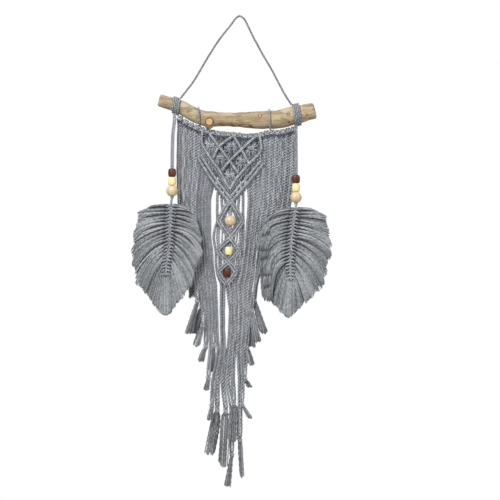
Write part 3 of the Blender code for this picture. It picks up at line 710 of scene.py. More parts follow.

# %% [markdown]
# Below the heading the strands hang straight and close together, then draw in towards the long point.
# The table tells where chosen strands pass at each height, and the others are spread evenly between them.
# Every other strand lies a little further back, as it must where there are more cords than room, and so
# does every other pair at its knot. Behind the net shade is painted on the strands, as the bars stand
# before them, and low in the fringe the strands are painted darker towards the bottom.

# %% Where the strands run
GUIDE_STRANDS = (0, 8, 17, 18, 19, 20, 21, 22, 23, 24, 25, 26, 32, 43)
GUIDE_ROWS = (
    # z, then x of each guide strand
    (-266, (-112.2, -72.9, -33.3, -27.9, -23.4, -18.9, -14.4, -9.9, -4.5, 0.9, 6.3, 12.6, 44.1, 98.1)),
    (-297, (-111.8, -75.6, -46.8, -37.8, -32.4, -27, -21.6, -16.2, -9.9, -2.7, 5.4, 14.4, 43.2, 95.4)),
    (-329, (-110.9, -79.2, -54.4, -41, -33.3, -26.1, -20.2, -15.3, -9, -1.8, 5.8, 16.2, 42.8, 91.8)),
    (-349, (-109.2, -79.2, -54.4, -41, -31, -25.2, -18.7, -16.4, -9.7, -3.6, 5.4, 15.3, 41, 88.2)),
    (-367, (-107.2, -78.7, -54, -40.7, -36.4, -32.4, -18.7, -16.4, -2.5, 1.8, 5.8, 13.8, 38.7, 82.8)),
    (-384, (-105, -78.1, -54, -45.7, -40, -27.9, -18.7, -16.4, -7.6, 0.9, 6.2, 12.0, 36.9, 79.2)),
    (-398, (-102.6, -77.4, -53.6, -47.5, -40.5, -23.9, -20.2, -18.0, -12.6, 0.4, 5.7, 10.8, 35.1, 74.7)),
    (-421, (-99.9, -76.5, -50.4, -43.6, -38.5, -30.6, -21.3, -19.1, -9.4, -1.2, 4.2, 9.3, 32.4, 66.6)),
    (-441, (-98.1, -75.1, -49.3, -43.2, -34.2, -25.2, -22.8, -20.6, -15.3, -4.2, 1.1, 6.2, 30.2, 52)),
    (-459, (-96.3, -73.8, -47.9, -42, -37.1, -33.8, -24.9, -22.7, -13.3, -6.6, -1.3, 3.9, 28.4, 42.5)),
    (-481, (-94.5, -72, -43.9, -33.8, -31, -27.7, -24.5, -20.9, -16.4, -11.8, -7.0, -2.0, 26.0, 38)),
    (-527, (-91.8, -66.6, -41.6, -34.4, -32.0, -29.6, -17.6, -14.9, -12.2, -8.8, -5, -0.7, 19.8, 30)),
    (-570, (-91.8, -67.5, -40.4, -33.8, -31.2, -28.6, -19.8, -16.6, -13.2, -9.6, -6, -2.4, 17.5, 30)),
    (-600, (-91.8, -68, -37, -33.5, -30, -26.5, -23, -19.5, -16, -12.5, -9, -5.5, 14, 40)),
    (-650, (-80, -62, -47.5, -43, -38.5, -34, -29.5, -25, -20.5, -16, -11.5, -2, 16, 35)),
)
# Behind the net, shade is painted on the strands this far at most.
NET_SHADE = 0.8  # how dark the strands lie behind the net
INNER_LEFT = ((-67.5, -205), (-68, -228.6), (-47.3, -262.8), (-37, -276.5), (-18.9, -309.6))
INNER_RIGHT = ((35.1, -213.3), (36.9, -241.2), (15.8, -265), (-7.2, -291.4), (-18.9, -311.4))
BUNDLES = (
    # knot x, knot z, tail x, tail z, half width of the tail below its knot and at its cut end
    (-99, -423, -100.8, -469.8, 2.8, 6.5),
    (-86.5, -459, -85.5, -505, 2.8, 6.5),
    (-76.7, -511.7, -92, -572.4, 2.8, 7.0),
    (-68.6, -520.9, -82.8, -570.6, 2.8, 6.5),
    (-66.6, -556.2, -77.4, -593.1, 2.8, 6.0),
    (-61.7, -593.1, -70.2, -621, 2.8, 5.5),
    (-56.7, -650.9, -60.5, -672, 2.8, 5.0),
    (-47.9, -592.2, -52, -639, 4.5, 7.0),
    (-50.4, -700.2, -54, -726.1, 3.5, 5.5),
    (-41, -707.8, -54.9, -788.4, 6.5, 8.5),
    (-25.7, -709.6, -30.6, -813.6, 8.5, 6.5),
    (-14.6, -788, -22.5, -849.1, 2.0, 6.0),
    (-11, -696.6, -13, -763.2, 7.0, 7.5),
    (0, -761.4, 3.6, -828, 4.0, 3.6),
    (3.6, -697.7, 18, -721.8, 2.2, 4.5),
    (9, -650.9, 17.5, -667.8, 2.8, 4.5),
    (12.4, -594, 20, -626.4, 2.8, 5.5),
    (17.6, -551.9, 22.5, -595.8, 2.8, 6.0),
    (21.4, -528.8, 30.5, -586.8, 2.8, 6.5),
    (26, -509.4, 43.2, -570.6, 2.8, 7.0),
    (39.6, -459, 46.8, -505.8, 2.8, 6.5),
    (57.6, -441, 64.8, -491.4, 2.8, 7.0),
)
KNOT_HALF = 4.6
PAIR_APART, PAIR_IN_KNOT = 2.4, 1.65  # half the way between a pair's strands, above their knot and in it
LAST_GUIDE_Z, DRIFT = -650.0, 62.0  # below this height, and this near its knot, a strand leaves the guides
STRAND_Y, KNOT_Y = 1.0, 2.3  # how far the two layers of strands, and of knots, lie from the middle
STRAND_STEP, SWAY = 9.0, 0.13  # the way between known points, and how far a strand sways aside
# Low in the fringe the strands are painted darker towards the bottom, through the same mix towards the shadow
# colour.
LOW_SHADE = ((-760, -580), (0.3, 0.0))  # heights, and how shut in the strands are there
LOW_TWIST = ((-640, -560), (1.25, 1.0))  # heights, and how far the twist has opened there
LOW_RADIUS = ((-620, -540), (2.4, 2.9))  # heights, and how thick a strand may be there
print("strands:", STRANDS, "end knots:", len(BUNDLES))

# %% [markdown]
# A strand follows the guides until it comes near its own knot, and there it drifts over to that. Soft cord
# fills the room that its neighbours leave, so a strand is as thick as the gap between them, within limits.


# %% The strands
def side_of(number):
    """1 for an odd strand or bundle and -1 for an even one."""
    return 1 if number % 2 else -1


def strand_start(strand):
    return HEADING_START + (strand + 0.5) * STRAND_PITCH


def guided_x(strand, z):
    start = strand_start(strand)
    known = [(-heading_z(start), start)]
    known += [(-height, np.interp(strand, GUIDE_STRANDS, places)) for height, places in GUIDE_ROWS]
    return float(np.interp(-z, *np.transpose(known)))


def inner_edge(x):
    """The height of the inner V at x, or None beside it."""
    left, right = sorted(INNER_LEFT[1:]), sorted(INNER_RIGHT[1:])
    if left[0][0] < x < right[-1][0]:
        return float(np.interp(x, *np.transpose(left if x < left[-1][0] else right)))
    return None


def strand_x(strand, z):
    """Where a strand passes: along the guides at first, then over its own knot."""
    knot_x, knot_z = BUNDLES[strand // 2][:2]
    begin = max(LAST_GUIDE_Z, knot_z + DRIFT)
    share = np.clip((begin - z) / min(DRIFT, begin - knot_z), 0, 1)
    share = share * share * (3 - 2 * share)
    return guided_x(strand, z) * (1 - share) + (knot_x + PAIR_APART * side_of(strand)) * share


def net_painted_shade(x, z):
    """How much shade is painted on a strand: much behind the bars of the net, and none below the V."""
    edge = inner_edge(x)
    return 0.0 if edge is None else float(np.interp(z - edge, (-6, 2), (0, NET_SHADE)))


def strand_line(strand, top):
    knot_x, knot_z = BUNDLES[strand // 2][:2]
    drift = chance.normal(0, SWAY, 2)
    y, aside = STRAND_Y * side_of(strand), PAIR_IN_KNOT * side_of(strand)
    low_y = KNOT_Y * side_of(strand // 2)
    line = []
    for z in np.linspace(top, knot_z + 2.2 * KNOT_HALF, max(4, int((top - knot_z) / STRAND_STEP))):
        wave = drift[0] * math.sin(z * 0.09 + strand) + drift[1] * math.sin(z * 0.21)
        near_knot = np.interp(z - knot_z, (10, 70), (1, 0)) ** 2
        line.append((strand_x(strand, z) + wave, y + (low_y - y) * near_knot, z))
    line += [(knot_x + aside, low_y, knot_z + KNOT_HALF), (knot_x + aside * 0.5, low_y, knot_z - 1)]
    return line


def strand_radius(strand, z):
    """Soft cords fill the room between their neighbours, up to their own full thickness."""
    knot_z = BUNDLES[strand // 2][1]
    low, high = max(strand - 1, 0), min(strand + 1, STRANDS - 1)
    room = (strand_x(high, z) - strand_x(low, z)) / (high - low)
    least = np.interp(z - knot_z, (4, 14, 50, 90), (1.7, 2.3, 2.3, 1.7))
    return float(np.clip(room * 0.55, least, np.interp(z, *LOW_RADIUS)))


def strands():
    for name, odd in (("front", 0), ("back", 1)):
        skein = Skein()
        for strand in range(odd, STRANDS, 2):
            line = strand_line(strand, heading_z(strand_start(strand)) - 3.0)
            radius = [strand_radius(strand, z) for _, _, z in line]
            # Painted shade behind the net, painted darkening towards the bottom, and painted shade on the
            # sides where strands touch.
            shade_to_paint = [max(net_painted_shade(x, z), np.interp(z, *LOW_SHADE)) for x, _, z in line]
            opened = [np.interp(z, *LOW_TWIST) for _, _, z in line]
            add_cord(skein, line, radius, step=1.75, crease=shade_to_paint, painted_side_shade=0.52, loose=opened)
        skein.finish(f"panel_strands_{name}", "macrame_panel")


strands()

# %% [markdown]
# A bar in macrame is a row of double half hitches: each strand in turn is wound twice round a holding
# cord. The wraps lie close together and slope a little, so a tight coil round a core is a fair copy of
# it. The V is made of two such rows side by side, and so is each side of the three diamonds.

# %% Knotted bars
BAR_Y = -3.6
WRAP_PITCH, WRAP_SIDES, TURN_STEPS = 2.35, 7, 12  # the pitch is in radii of the wrapping cord
NET_BAR, V_BAR = (1.8, 1.4), (1.85, 1.4)  # radius of the coil, and of its cord
V_APART = 3.3  # how far each of the V's two rows lies from their middle
V_POINT = (-17.6, -330)
V_LEFT = ((-72.5, -252), (-56.5, -278), (-45, -295), (-30.6, -314), V_POINT)
V_RIGHT = ((38.7, -262.8), (26.1, -278), (11.2, -296), (-1.8, -310.5), V_POINT)
NET_BARS = (
    ((-54.9, -210.6), (-18.7, -259.2), (-2.7, -282.6)),
    ((26.1, -216.7), (-18.7, -259.2), (-32.4, -277.2)),
    ((-11.7, -214), (2.5, -238), (16.2, -264.6)),
    ((-11.7, -214), (-37, -232.9), (-48.6, -254.7)),
    INNER_LEFT,
    INNER_RIGHT,
)


def hitched_bar(skein, points, coil_radius, wrap_radius, y, aside=0.0):
    """A core along the points with wraps round it; aside moves the row across its own direction."""
    line = [(x, y, z) for x, z in points]
    line = smooth(line, 1.0) if len(points) > 2 else evenly(line, 1.0)
    line = line + carried_frames(line)[0] * aside
    turns = max(2, round(reach_along(line)[-1] / (WRAP_PITCH * wrap_radius)))
    share, fine = np.linspace(0, 1, len(line)), np.linspace(0, 1, turns * TURN_STEPS + 1)
    at, across, deep = (read_at(fine, share, values) for values in (line, *carried_frames(line)))
    coil = at + coil_radius * around_line(across, deep, fine[:, None] * turns * math.tau)[:, 0]
    # Shade is painted on the core, which lies inside the wraps.
    add_cord(skein, line, coil_radius * 0.9, step=2.5, smoothed=False, crease=0.6)
    tube = coil[:, None] + wrap_radius * around_line(*carried_frames(coil), circle(WRAP_SIDES))
    # Shade is painted on each wrap's edges away from the row's middle, which darkens the line between two
    # rows.
    off_middle = np.abs(((tube - at[:, None]) * across[:, None]).sum(axis=2)) / (coil_radius + wrap_radius)
    skein.add(tube, shade=0.2, crease=np.clip((off_middle - 0.4) / 0.42, 0, 0.95))


print("bars of the net:", len(NET_BARS))

# %% [markdown]
# Each side of a diamond is two rows of hitches, and inside it the strands turn towards the bead and cross
# behind it. Plain strands link one diamond to the next. Under each V the strands come out again as a row
# of short stubs with shadow between them, partly painted on the stubs.

# %% Diamonds, links and stubs
DIAMOND_BAR, DIAMOND_APART, LINK_Y = (1.2, 1.15), 2.2, -1.2
DIAMONDS = (
    # left corner, right corner, lower corner
    ((-38.7, -367), (5, -368), (-17.4, -397.8)),
    ((-41.4, -420), (-1.4, -421.5), (-20.5, -441.5)),
    ((-39.6, -458.5), (-7.5, -459), (-24.3, -481.5)),
)
CROSSINGS = (0.2, 0.38, 0.54, 0.68)  # how far in from a corner the inside cords turn
LINKS = (0.12, 0.36, 0.6, 0.8)  # where along a side a cord leaves for the next diamond
EXIT_PITCH = 5.2
EXIT_STUB = (
    # y, how far below the bar, radius, painted shade
    (BAR_Y - 0.6, 3.5, 2.0, 0.9),
    (BAR_Y - 1.4, 7.5, 2.2, 0.1),
    (BAR_Y + 1.4, 11.5, 1.9, 0.2),
    (-0.6, 15, 1.6, 0.3),
)


def between(first, second, share):
    """The point at a share of the way between two points of the picture plane."""
    return tuple(a + (b - a) * share for a, b in zip(first, second))


def diamond(skein, top, left, right, low):
    """Two rows of hitches along each of the four sides, and the cords that cross inside."""
    for number, corner in enumerate((left, right)):
        lean, y = (-1.2, 1.2)[number], BAR_Y - 0.8 - 0.7 * number
        for first, second in ((top, corner), (corner, low)):
            x, z = between(first, second, 0.5)
            for aside in (-DIAMOND_APART, DIAMOND_APART):
                hitched_bar(skein, (first, (x + lean, z), second), *DIAMOND_BAR, y, aside)
        for inset in CROSSINGS:
            turn = between(corner, between(top, low, 0.5), inset)
            above, below = (between(between(end, corner, 0.6), turn, 0.6) for end in (top, low))
            start, end = between(top, low, 0.1), between(top, low, 0.9)
            route = ((start, 0.2), (above, -0.8), (turn, -1.0), (below, -0.8), (end, 0.2))
            # Shade is painted on the cords that cross inside the diamond.
            add_cord(skein, [(x, y, z) for (x, z), y in route], 2.0, step=1.8, crease=0.45)


def links(skein, upper, joint, lower):
    """The cords that run from one diamond's lower sides to the next one's upper sides."""
    for above, below in zip(upper, lower):
        for share in LINKS:
            (x, z), (end_x, end_z) = between(above, joint, share), between(below, joint, share)
            link = ((x, LINK_Y, z + 1), (end_x, LINK_Y, end_z - 1))
            # A little shade is painted all along the links.
            add_cord(skein, link, 1.75, step=1.6, crease=0.15)


def strand_exits(skein, points):
    """Where the strands come out under the V: short stubs, with shade painted at their tops and sides."""
    depth, drop, radius, shade_to_paint = np.transpose(EXIT_STUB)
    for x, _, z in evenly([(x, 0.0, z) for x, z in points], EXIT_PITCH)[:-1]:
        stub = together(x, depth, z - drop)
        add_cord(skein, stub, radius, step=1.4, shade=0.75, crease=shade_to_paint, painted_side_shade=0.6)


def bars():
    skein = Skein()
    for index, points in enumerate(NET_BARS):
        hitched_bar(skein, points, *NET_BAR, BAR_Y - 1.8 - 0.8 * (index % 2))
    for points in (V_LEFT, V_RIGHT):
        for aside in (-V_APART, V_APART):
            hitched_bar(skein, points, *V_BAR, BAR_Y - 1.6, aside)
        strand_exits(skein, points)
    for points in (INNER_LEFT, INNER_RIGHT):
        strand_exits(skein, points[2:])
    top, above = V_POINT, None
    for left, right, low in DIAMONDS:
        diamond(skein, top, left, right, low)
        if above:
            links(skein, above, top, (left, right))
        top, above = low, (left, right)
    skein.finish("panel_bars", "macrame_panel")


bars()

# %% [markdown]
# Inside the net, each diamond holds a square knot: two cords tied across two others. The cords reach it
# from the bars above and leave it to the bars below, so from in front it looks like a small star. The
# knot itself is two arches across and two short loops that close them at the sides.

# %% Square knots of the net
STARS = ((-52.0, -231.5), (-14.8, -231.5), (19.5, -236.5), (-36.0, -253.8), (5.0, -259.6), (-18.0, -286.5))
RAY_ANGLES = (-66, -40, -14, 14, 40, 66)
# Painted shade along each ray, from the knot out to the bars: some near the knot, most under the bars.
RAY_PAINTED_SHADE = (0.5, 0.0, 0.0, 0.7)  # from the knot out to the bars
CELL_HALF_WIDTH, CELL_HALF_HEIGHT = 15.5, 19.5
STAR_SIZE, STAR_Y = 0.95, -3.2


def square_knot(skein, x, z):
    for up in (1.7, -1.7):
        half = ((-4.2, 1.4, up * 0.3), (-4.3, -1.0, up), (-2.2, -2.6, up))
        arch = np.array(half + tuple((-aside, y, high) for aside, y, high in half[::-1]))
        add_cord(skein, arch * STAR_SIZE + (x, STAR_Y, z), 1.45 * STAR_SIZE, step=1.1)
    for side in (-1, 1):
        loop = ((3.2, -0.8, 3.6), (4.6, -2.0, 2.4), (4.9, -2.2, 0), (4.6, -2.0, -2.4), (3.2, -0.8, -3.6))
        turned = np.array(loop) * STAR_SIZE * (side, 1, 1)
        add_cord(skein, turned + (x, STAR_Y, z), 1.3 * STAR_SIZE, step=1.1)


def net_knots():
    skein = Skein()
    for x, z in STARS:
        for way, degrees in ((way, degrees) for way in (1, -1) for degrees in RAY_ANGLES):
            angle = math.radians(degrees + chance.normal(0, 3))
            sine, cosine = math.sin(angle), math.cos(angle)
            reach = 1 / math.hypot(sine / CELL_HALF_WIDTH, cosine / CELL_HALF_HEIGHT)
            out = np.array((sine, 0, way * cosine)) * reach
            bend = (x + math.copysign(1.08, degrees), -2.6, z) + out * 0.45
            end = (x, 0.2 + chance.normal(0, 0.4), z) + out * 0.97
            ray = ((x, -1.5, z) + out * 1.5 / reach, bend, end)
            # Each ray takes that painted shade, and painted shade on its sides where rays touch.
            add_cord(skein, ray, 2.05, step=1.5, shade=0.75, crease=RAY_PAINTED_SHADE, painted_side_shade=0.7)
        square_knot(skein, x, z)
    skein.finish("panel_net_knots", "macrame_panel")


net_knots()

# %% [markdown]
# Untwisted cord is combed out to fine yarn, and the yarn keeps a crimp as a memory of the twist, which
# fades towards the tip. Yarns of one ply wave together. Thousands of yarns show here, so many of them are
# skinned at once as one block of numbers, and each is only a three-sided tube.


# %% Combed yarn
YARN_SIDES, YARN_TIP = 3, 0.35  # a yarn thins to this share at its tip


def combed_rings(lines, radius):
    """Rings for many fine yarns at once: lines is (yarns, steps, 3)."""
    along = np.gradient(lines, axis=1)
    along /= np.linalg.norm(along, axis=2, keepdims=True)
    across = np.cross(along, (0.12, 1.0, 0.09))
    across /= np.linalg.norm(across, axis=2, keepdims=True)
    angle = circle(YARN_SIDES) + 0.4
    taper = np.append(np.ones(lines.shape[1] - 1), YARN_TIP)
    thick = np.reshape(radius, (-1, 1, 1, 1)) * taper[None, :, None, None]
    return lines[:, :, None] + around_line(across, np.cross(along, across), angle) * thick


def crimped(lines, amplitude, period, lock, apart=0.5):
    """Adds the crimp that untwisted yarn keeps. Yarns of one lock wave together, as they lay in one ply."""
    yarns, steps = lines.shape[:2]
    own = chance.random(lock.max() + 1)[lock][:, None] * math.tau + chance.normal(0, apart, (yarns, 1))
    swing = reach_along(lines) / period * math.tau * (1 + 0.04 * chance.standard_normal((yarns, 1))) + own
    fade = np.sin(np.linspace(0.15, 1, steps) * math.pi) ** 0.5
    return lines + together(np.cos(swing), 0.8 * np.sin(swing), 0) * (amplitude * fade)[None, :, None]


print("sides of a yarn:", YARN_SIDES)

# %% [markdown]
# Each pair of strands ends in an overhand knot, which is drawn as a short coil with one crossing turn in
# front. The tail below it is a brush of five locks: it leaves the knot narrow, opens over the first few
# millimetres, and is cut a little unevenly.

# %% End knots and tails
TAIL_YARNS, TAIL_LOCKS, TAIL_STEP = 38, 5, 1.9
TAIL_CRIMP = (0.42, 10.0)  # amplitude and period
ROOT_HALF, TIP_Y = 1.6, 5.2  # half the width of a tail inside its knot, and how far out its tip hangs


def overhand_knot(skein, x, y, z):
    turns = np.linspace(0, 1.75, 22)
    angle = turns * math.tau + chance.random() * 2
    wide = 2.9 + 0.3 * np.sin(turns * 3.6)
    height = np.linspace(3.4, -3.4, len(turns)) + 0.9 * np.sin(angle)
    coil = together(wide * np.cos(angle), wide * np.sin(angle), height)
    waist = np.array(((-1.5, -1.0, 4.4), (-2.6, -3.2, 1.0), (2.6, -3.4, -1.4), (1.4, 0, -4.4)))
    # A little shade is painted on the coil, less on the crossing turn.
    add_cord(skein, coil + (x, y, z), 1.9, step=1.3, crease=0.3)
    add_cord(skein, waist + (x, y, z), 1.7, step=1.2, crease=0.1)


def tails():
    knots, brush = Skein(), Skein()
    lock = np.arange(TAIL_YARNS) % TAIL_LOCKS
    for bundle, (knot_x, knot_z, tip_x, tip_z, root_half, half) in enumerate(BUNDLES):
        side, length = side_of(bundle), knot_z - tip_z
        overhand_knot(knots, knot_x, KNOT_Y * side, knot_z)
        t = np.linspace(0, 1, max(12, int(length / TAIL_STEP)))
        spread = (lock + 0.5) / TAIL_LOCKS * 2 - 1 + chance.normal(0, 0.2, TAIL_YARNS)
        depth = chance.uniform(-1, 1, TAIL_YARNS) * 1.9 + chance.normal(0, 0.7, TAIL_LOCKS)[lock]
        cut = chance.normal(0, 0.04, TAIL_LOCKS)[lock] + np.abs(chance.normal(0, 0.025, TAIL_YARNS))
        drop = tip_z + cut * length + spread**2 * 1.5
        root = together(knot_x + spread * ROOT_HALF, KNOT_Y * side + depth * 0.6, knot_z)
        tip = together(tip_x + spread * half, TIP_Y * side + depth * 1.2, drop)
        lines = root[:, None] + (tip - root)[:, None] * t[:, None]
        fallen = t * length
        opening = (root_half - ROOT_HALF) * (1 - np.exp(-fallen / (2.5 + root_half))) * (1 - t)
        wander = chance.normal(0, 0.5, TAIL_LOCKS)[lock]
        lines[..., 0] += spread[:, None] * opening + wander[:, None] * np.sin(t * math.pi)
        # Painted shade: deep where the yarns leave the knot, fading over a few millimetres, and more on a
        # random quarter of the yarns.
        dim = 0.55 * (chance.random((TAIL_YARNS, 1)) < 0.25)
        crease = (0.6 * np.exp(-fallen / 4.0) + dim).clip(0, 1)
        shade = chance.random(TAIL_LOCKS)[lock] * 0.3 + chance.random(TAIL_YARNS) * 0.3
        yarns = crimped(lines, *TAIL_CRIMP, lock, 0.9)
        rings = combed_rings(yarns, chance.uniform(0.65, 1.05, TAIL_YARNS))
        brush.add(rings, shade, crease=crease[..., None])
    knots.finish("panel_end_knots", "macrame_panel")
    brush.finish("panel_tails", "macrame_panel", finish=yarn_finish_painted_shade)


tails()

# %% [markdown]
# Each feather hangs on two strap cords that run through three beads. Its spine is a pair of cords with
# short pieces of cord looped round it, one row under another, and each piece is untwisted and combed
# flat to the sides. So the leaf is yarn all over: it leaves the spine sideways, droops, and is cut to
# the shape of a leaf. The tables hold the spine and the outline where the yarns were cut.

# %% Feather shapes
FEATHERS = (
    # name, strap x at the binding, strap top z, strap y there, bead x, first bead's top z
    ("left", -117.5, -173.8, -8.5, -121.4, -273.8),
    ("right", 100.2, -195.2, -11.0, 100.4, -285.0),
)
SPINES = {
    # x, z
    "left": ((-123, -337), (-125, -371), (-126, -397), (-128, -423), (-131, -440), (-133, -466)),
    "right": ((100.1, -343), (96, -367), (93, -395), (91, -422), (90, -450), (91, -474)),
}
LEAF_EDGES = {
    # Where the tips of the locks end, from the shoulder down to the point of the leaf.
    ("left", "left"): (
        (-160, -340), (-183, -352), (-190, -388), (-194, -423), (-192, -456), (-183, -485),
        (-162, -510), (-147, -529), (-138, -536),
    ),
    ("left", "right"): (
        (-98, -341), (-76, -362), (-67, -400), (-66, -424), (-76, -457), (-87, -486),
        (-103, -506), (-114, -519), (-123, -532),
    ),
    ("right", "left"): (
        (62, -352), (40, -371), (28, -405), (32, -437), (38, -474), (45, -508),
        (60, -520), (73, -531), (82, -540),
    ),
    ("right", "right"): (
        (130, -345), (156, -358), (162, -388), (165, -422), (158, -450), (149, -481),
        (133, -502), (116, -516), (97, -534),
    ),
}
LEAF_POINT = {"left": (-131, -538), "right": (88, -542)}
STRAP_Y, ROWS = -16.0, 21
print("rows of locks on each side of a feather:", ROWS)

# %% [markdown]
# A yarn is a curve with one bend: it leaves the spine sideways and then droops to its place on the leaf's
# edge. The front yarns of a lock share its tones and its droop, so the locks stay readable. Shade is
# painted where it gathers, beside the spine and between locks, and on the yarns that fill the leaf from
# behind. On the right feather's left side the locks are folded back, with painted shadow at their cut ends.


# %% Combing one side
LOCK_YARNS, YARN_STEPS = 26, 24
BACKING_YARNS = LOCK_YARNS // 4  # every fourth yarn fills the leaf from behind
LEAF_CRIMP = (0.6, 9.0)  # amplitude and period
CURLED_ROWS = (1.5, ROWS * 0.76)  # between these rows the locks are folded back
CURLED = (
    # left x, bottom z, width, how much higher the right end of the cut is
    (38, -393, 13, 4),
    (31, -419, 19, -3),
    (35, -438, 15, 5),
    (35, -464, 19, -2),
    (42, -488, 14, 5),
    (43, -510, 15, -3),
)


def point_at(points, share):
    """The point at a share of a line's length."""
    reach = reach_along(points)
    return read_at(share * reach[-1], reach, points)


def bent(root, bend, tip):
    """A yarn from root to tip that is drawn towards bend, and how far along it each of its points is."""
    t = np.linspace(0, 1, YARN_STEPS)
    share = t[:, None]
    return root * (1 - share) ** 2 + bend * (2 * share * (1 - share)) + tip * share**2, t


def curl(lock, fold, root_z):
    """Where a front yarn of the folded locks bends, and its tip on the cut edge of its lock."""
    chunk = (lock - CURLED_ROWS[0]) / (CURLED_ROWS[1] - CURLED_ROWS[0]) * len(CURLED)
    x, z, width, tilt = CURLED[min(int(chunk), len(CURLED) - 1)]
    y = STRAP_Y - 5.4 + chance.normal(0, 0.9)
    tip = np.array((x + width * fold, y, z + chance.normal(0, 0.9) + tilt * fold + 5.0 * (fold - 0.35) ** 2))
    high = max(tip[2] + 20, root_z - 8)
    return np.array((tip[0] - 4.0 + 3 * fold, STRAP_Y + 2.0 - 4.0 * (chunk % 1), high)), tip


def comb_side(skein, name, side, spine):
    """All the yarns on one side of a spine, lock by lock from the top."""
    edge, sign = LEAF_EDGES[(name, side)], -1 if side == "left" else 1
    lines, shades, thick, painted_shade_shares, locks = [], [], [], [], []
    for lock in range(ROWS):
        tone = chance.random(3)
        lift, sag, drift = chance.normal(0, 1.2), chance.normal(0, 3.0), chance.normal(0, 0.35)
        # About three locks in ten take more painted shade at their edges.
        longer, parted = 1 + chance.normal(0, 0.018), 0.75 if chance.random() < 0.3 else 0.25
        curled = (name, side) == ("right", "left") and CURLED_ROWS[0] < lock < CURLED_ROWS[1]
        for yarn in range(LOCK_YARNS):
            across = chance.uniform(-1, 1)
            backing, part = yarn % 4 == 3, int((across + 1) * 1.5)
            if backing:
                across = (yarn // 4 + 0.5) / BACKING_YARNS * 2 - 1
            middle = lock + 0.5
            share = min(1, max(0, (middle + (across * 0.5 if backing else across * 0.8 + drift)) / ROWS))
            root_x, root_z = point_at(spine, (middle + across * (0.5 if backing else 0.16)) / ROWS)
            root_y = STRAP_Y + (3.4 if backing else 0.4) + 0.8 * abs(across)
            root = np.array((root_x + sign * 3.6, root_y, root_z))
            edge_x, edge_z = point_at(edge, share + 0.28 * share * (1 - share))
            far = 0.95 if backing else longer * (1 - 0.05 * across**2 - abs(chance.normal(0, 0.008)))
            crown = 0 if backing else 1.3 * (1 - across**2)
            tip_y = STRAP_Y + (3.2 if backing else 0.9 + lift - crown * 0.6) + chance.normal(0, 0.5)
            tip = np.array((root_x + (edge_x - root_x) * far, tip_y, root_z + (edge_z - root_z) * far))
            towards_bend = (0.76 - 0.24 * share, 0.5, 0.14 + 0.24 * share)
            bend = root + (tip - root) * towards_bend + (0, -0.8 - crown, 0 if backing else sag)
            if curled and not backing:
                bend, tip = curl(lock, (across + 1) / 2, root_z)
            line, t = bent(root, bend, tip)
            lines.append(line)
            # The yarns behind take a lower shade number: painted shade, as they lie behind the front yarns.
            shades.append((0.35 if backing else 0.7) * tone[part] + 0.3 * chance.random())
            thick.append(1.1 if backing else chance.uniform(0.55, 0.85))
            # Painted shade between locks, beside the spine, and at the cut ends of the folded locks.
            shade_between_locks = (0.5 if backing else parted * abs(across) ** 4) * (1 - 0.5 * t)
            shade_beside_spine = 0.95 * np.exp(-((t * np.linalg.norm(tip - root) / 6.0) ** 2))
            shadow_at_cut_end = 0.7 * t**9 * (curled and not backing)
            painted_shade_shares.append(np.max([shade_beside_spine, shadow_at_cut_end, shade_between_locks], axis=0))
            locks.append(lock * 4 + (3 if backing else part))
    yarns = crimped(np.array(lines), *LEAF_CRIMP, np.array(locks))
    skein.add(combed_rings(yarns, thick), np.array(shades), crease=np.array(painted_shade_shares)[..., None])


print("yarns on one side of a leaf:", ROWS * LOCK_YARNS)

# %% [markdown]
# Below the last row the yarns hang straight down from the end of the spine. They part into six locks that
# meet in the leaf's point.

# %% The point of a leaf
POINT_YARNS, POINT_LOCKS = 130, 6


def comb_point(skein, name, spine):
    """The lowest yarns, which hang straight down from the end of the spine."""
    root_x, root_z = spine[-1]
    tip_x, tip_z = LEAF_POINT[name]
    left, right = LEAF_EDGES[(name, "left")][-1], LEAF_EDGES[(name, "right")][-1]
    lock = np.arange(POINT_YARNS) % POINT_LOCKS
    shade = chance.random(POINT_LOCKS)[lock] * 0.6 + chance.random(POINT_YARNS) * 0.4
    lines, painted_shade_shares = [], []
    for own_lock in lock:
        inside = chance.uniform(-1, 1)
        across = (own_lock + 0.5 + inside * 0.75) / POINT_LOCKS * 2 - 1
        edge_x, edge_z = left if across < 0 else right
        end_x = tip_x + (edge_x - tip_x) * abs(across) * 1.15
        end_z = tip_z + (edge_z - tip_z) * abs(across) + 2.5 * inside**2
        crown = 2.4 * (1 - inside**2)
        root = np.array((root_x + across * 4, STRAP_Y + 1.0 - crown * 0.4, root_z + abs(across) * 26 + 3))
        tip = np.array((end_x, STRAP_Y + 1.2 - crown, end_z + abs(chance.normal(0, 0.8))))
        bend = root + (tip - root) * (0.75, 0.5, 0.35) + (0, -1.6 - crown * 0.5, 0)
        line, t = bent(root, bend, tip)
        lines.append(line)
        # Painted shade where the yarns leave the spine and at the edges of each lock.
        painted_shade_shares.append(np.maximum(0.8 * np.exp(-((t * 9) ** 2)), 0.6 * abs(inside) ** 4))
    yarns = crimped(np.array(lines), *LEAF_CRIMP, lock)
    rings = combed_rings(yarns, chance.uniform(0.66, 0.95, POINT_YARNS))
    skein.add(rings, shade, crease=np.array(painted_shade_shares)[..., None])


print("yarns at a leaf's point:", POINT_YARNS)

# %% [markdown]
# The spine shows the cords that hold the yarn: two down the middle and, row under row, a short thick end
# at each side. Two straps run from the binding through the beads into it, so the sizes of the beads tell
# where the spine begins.

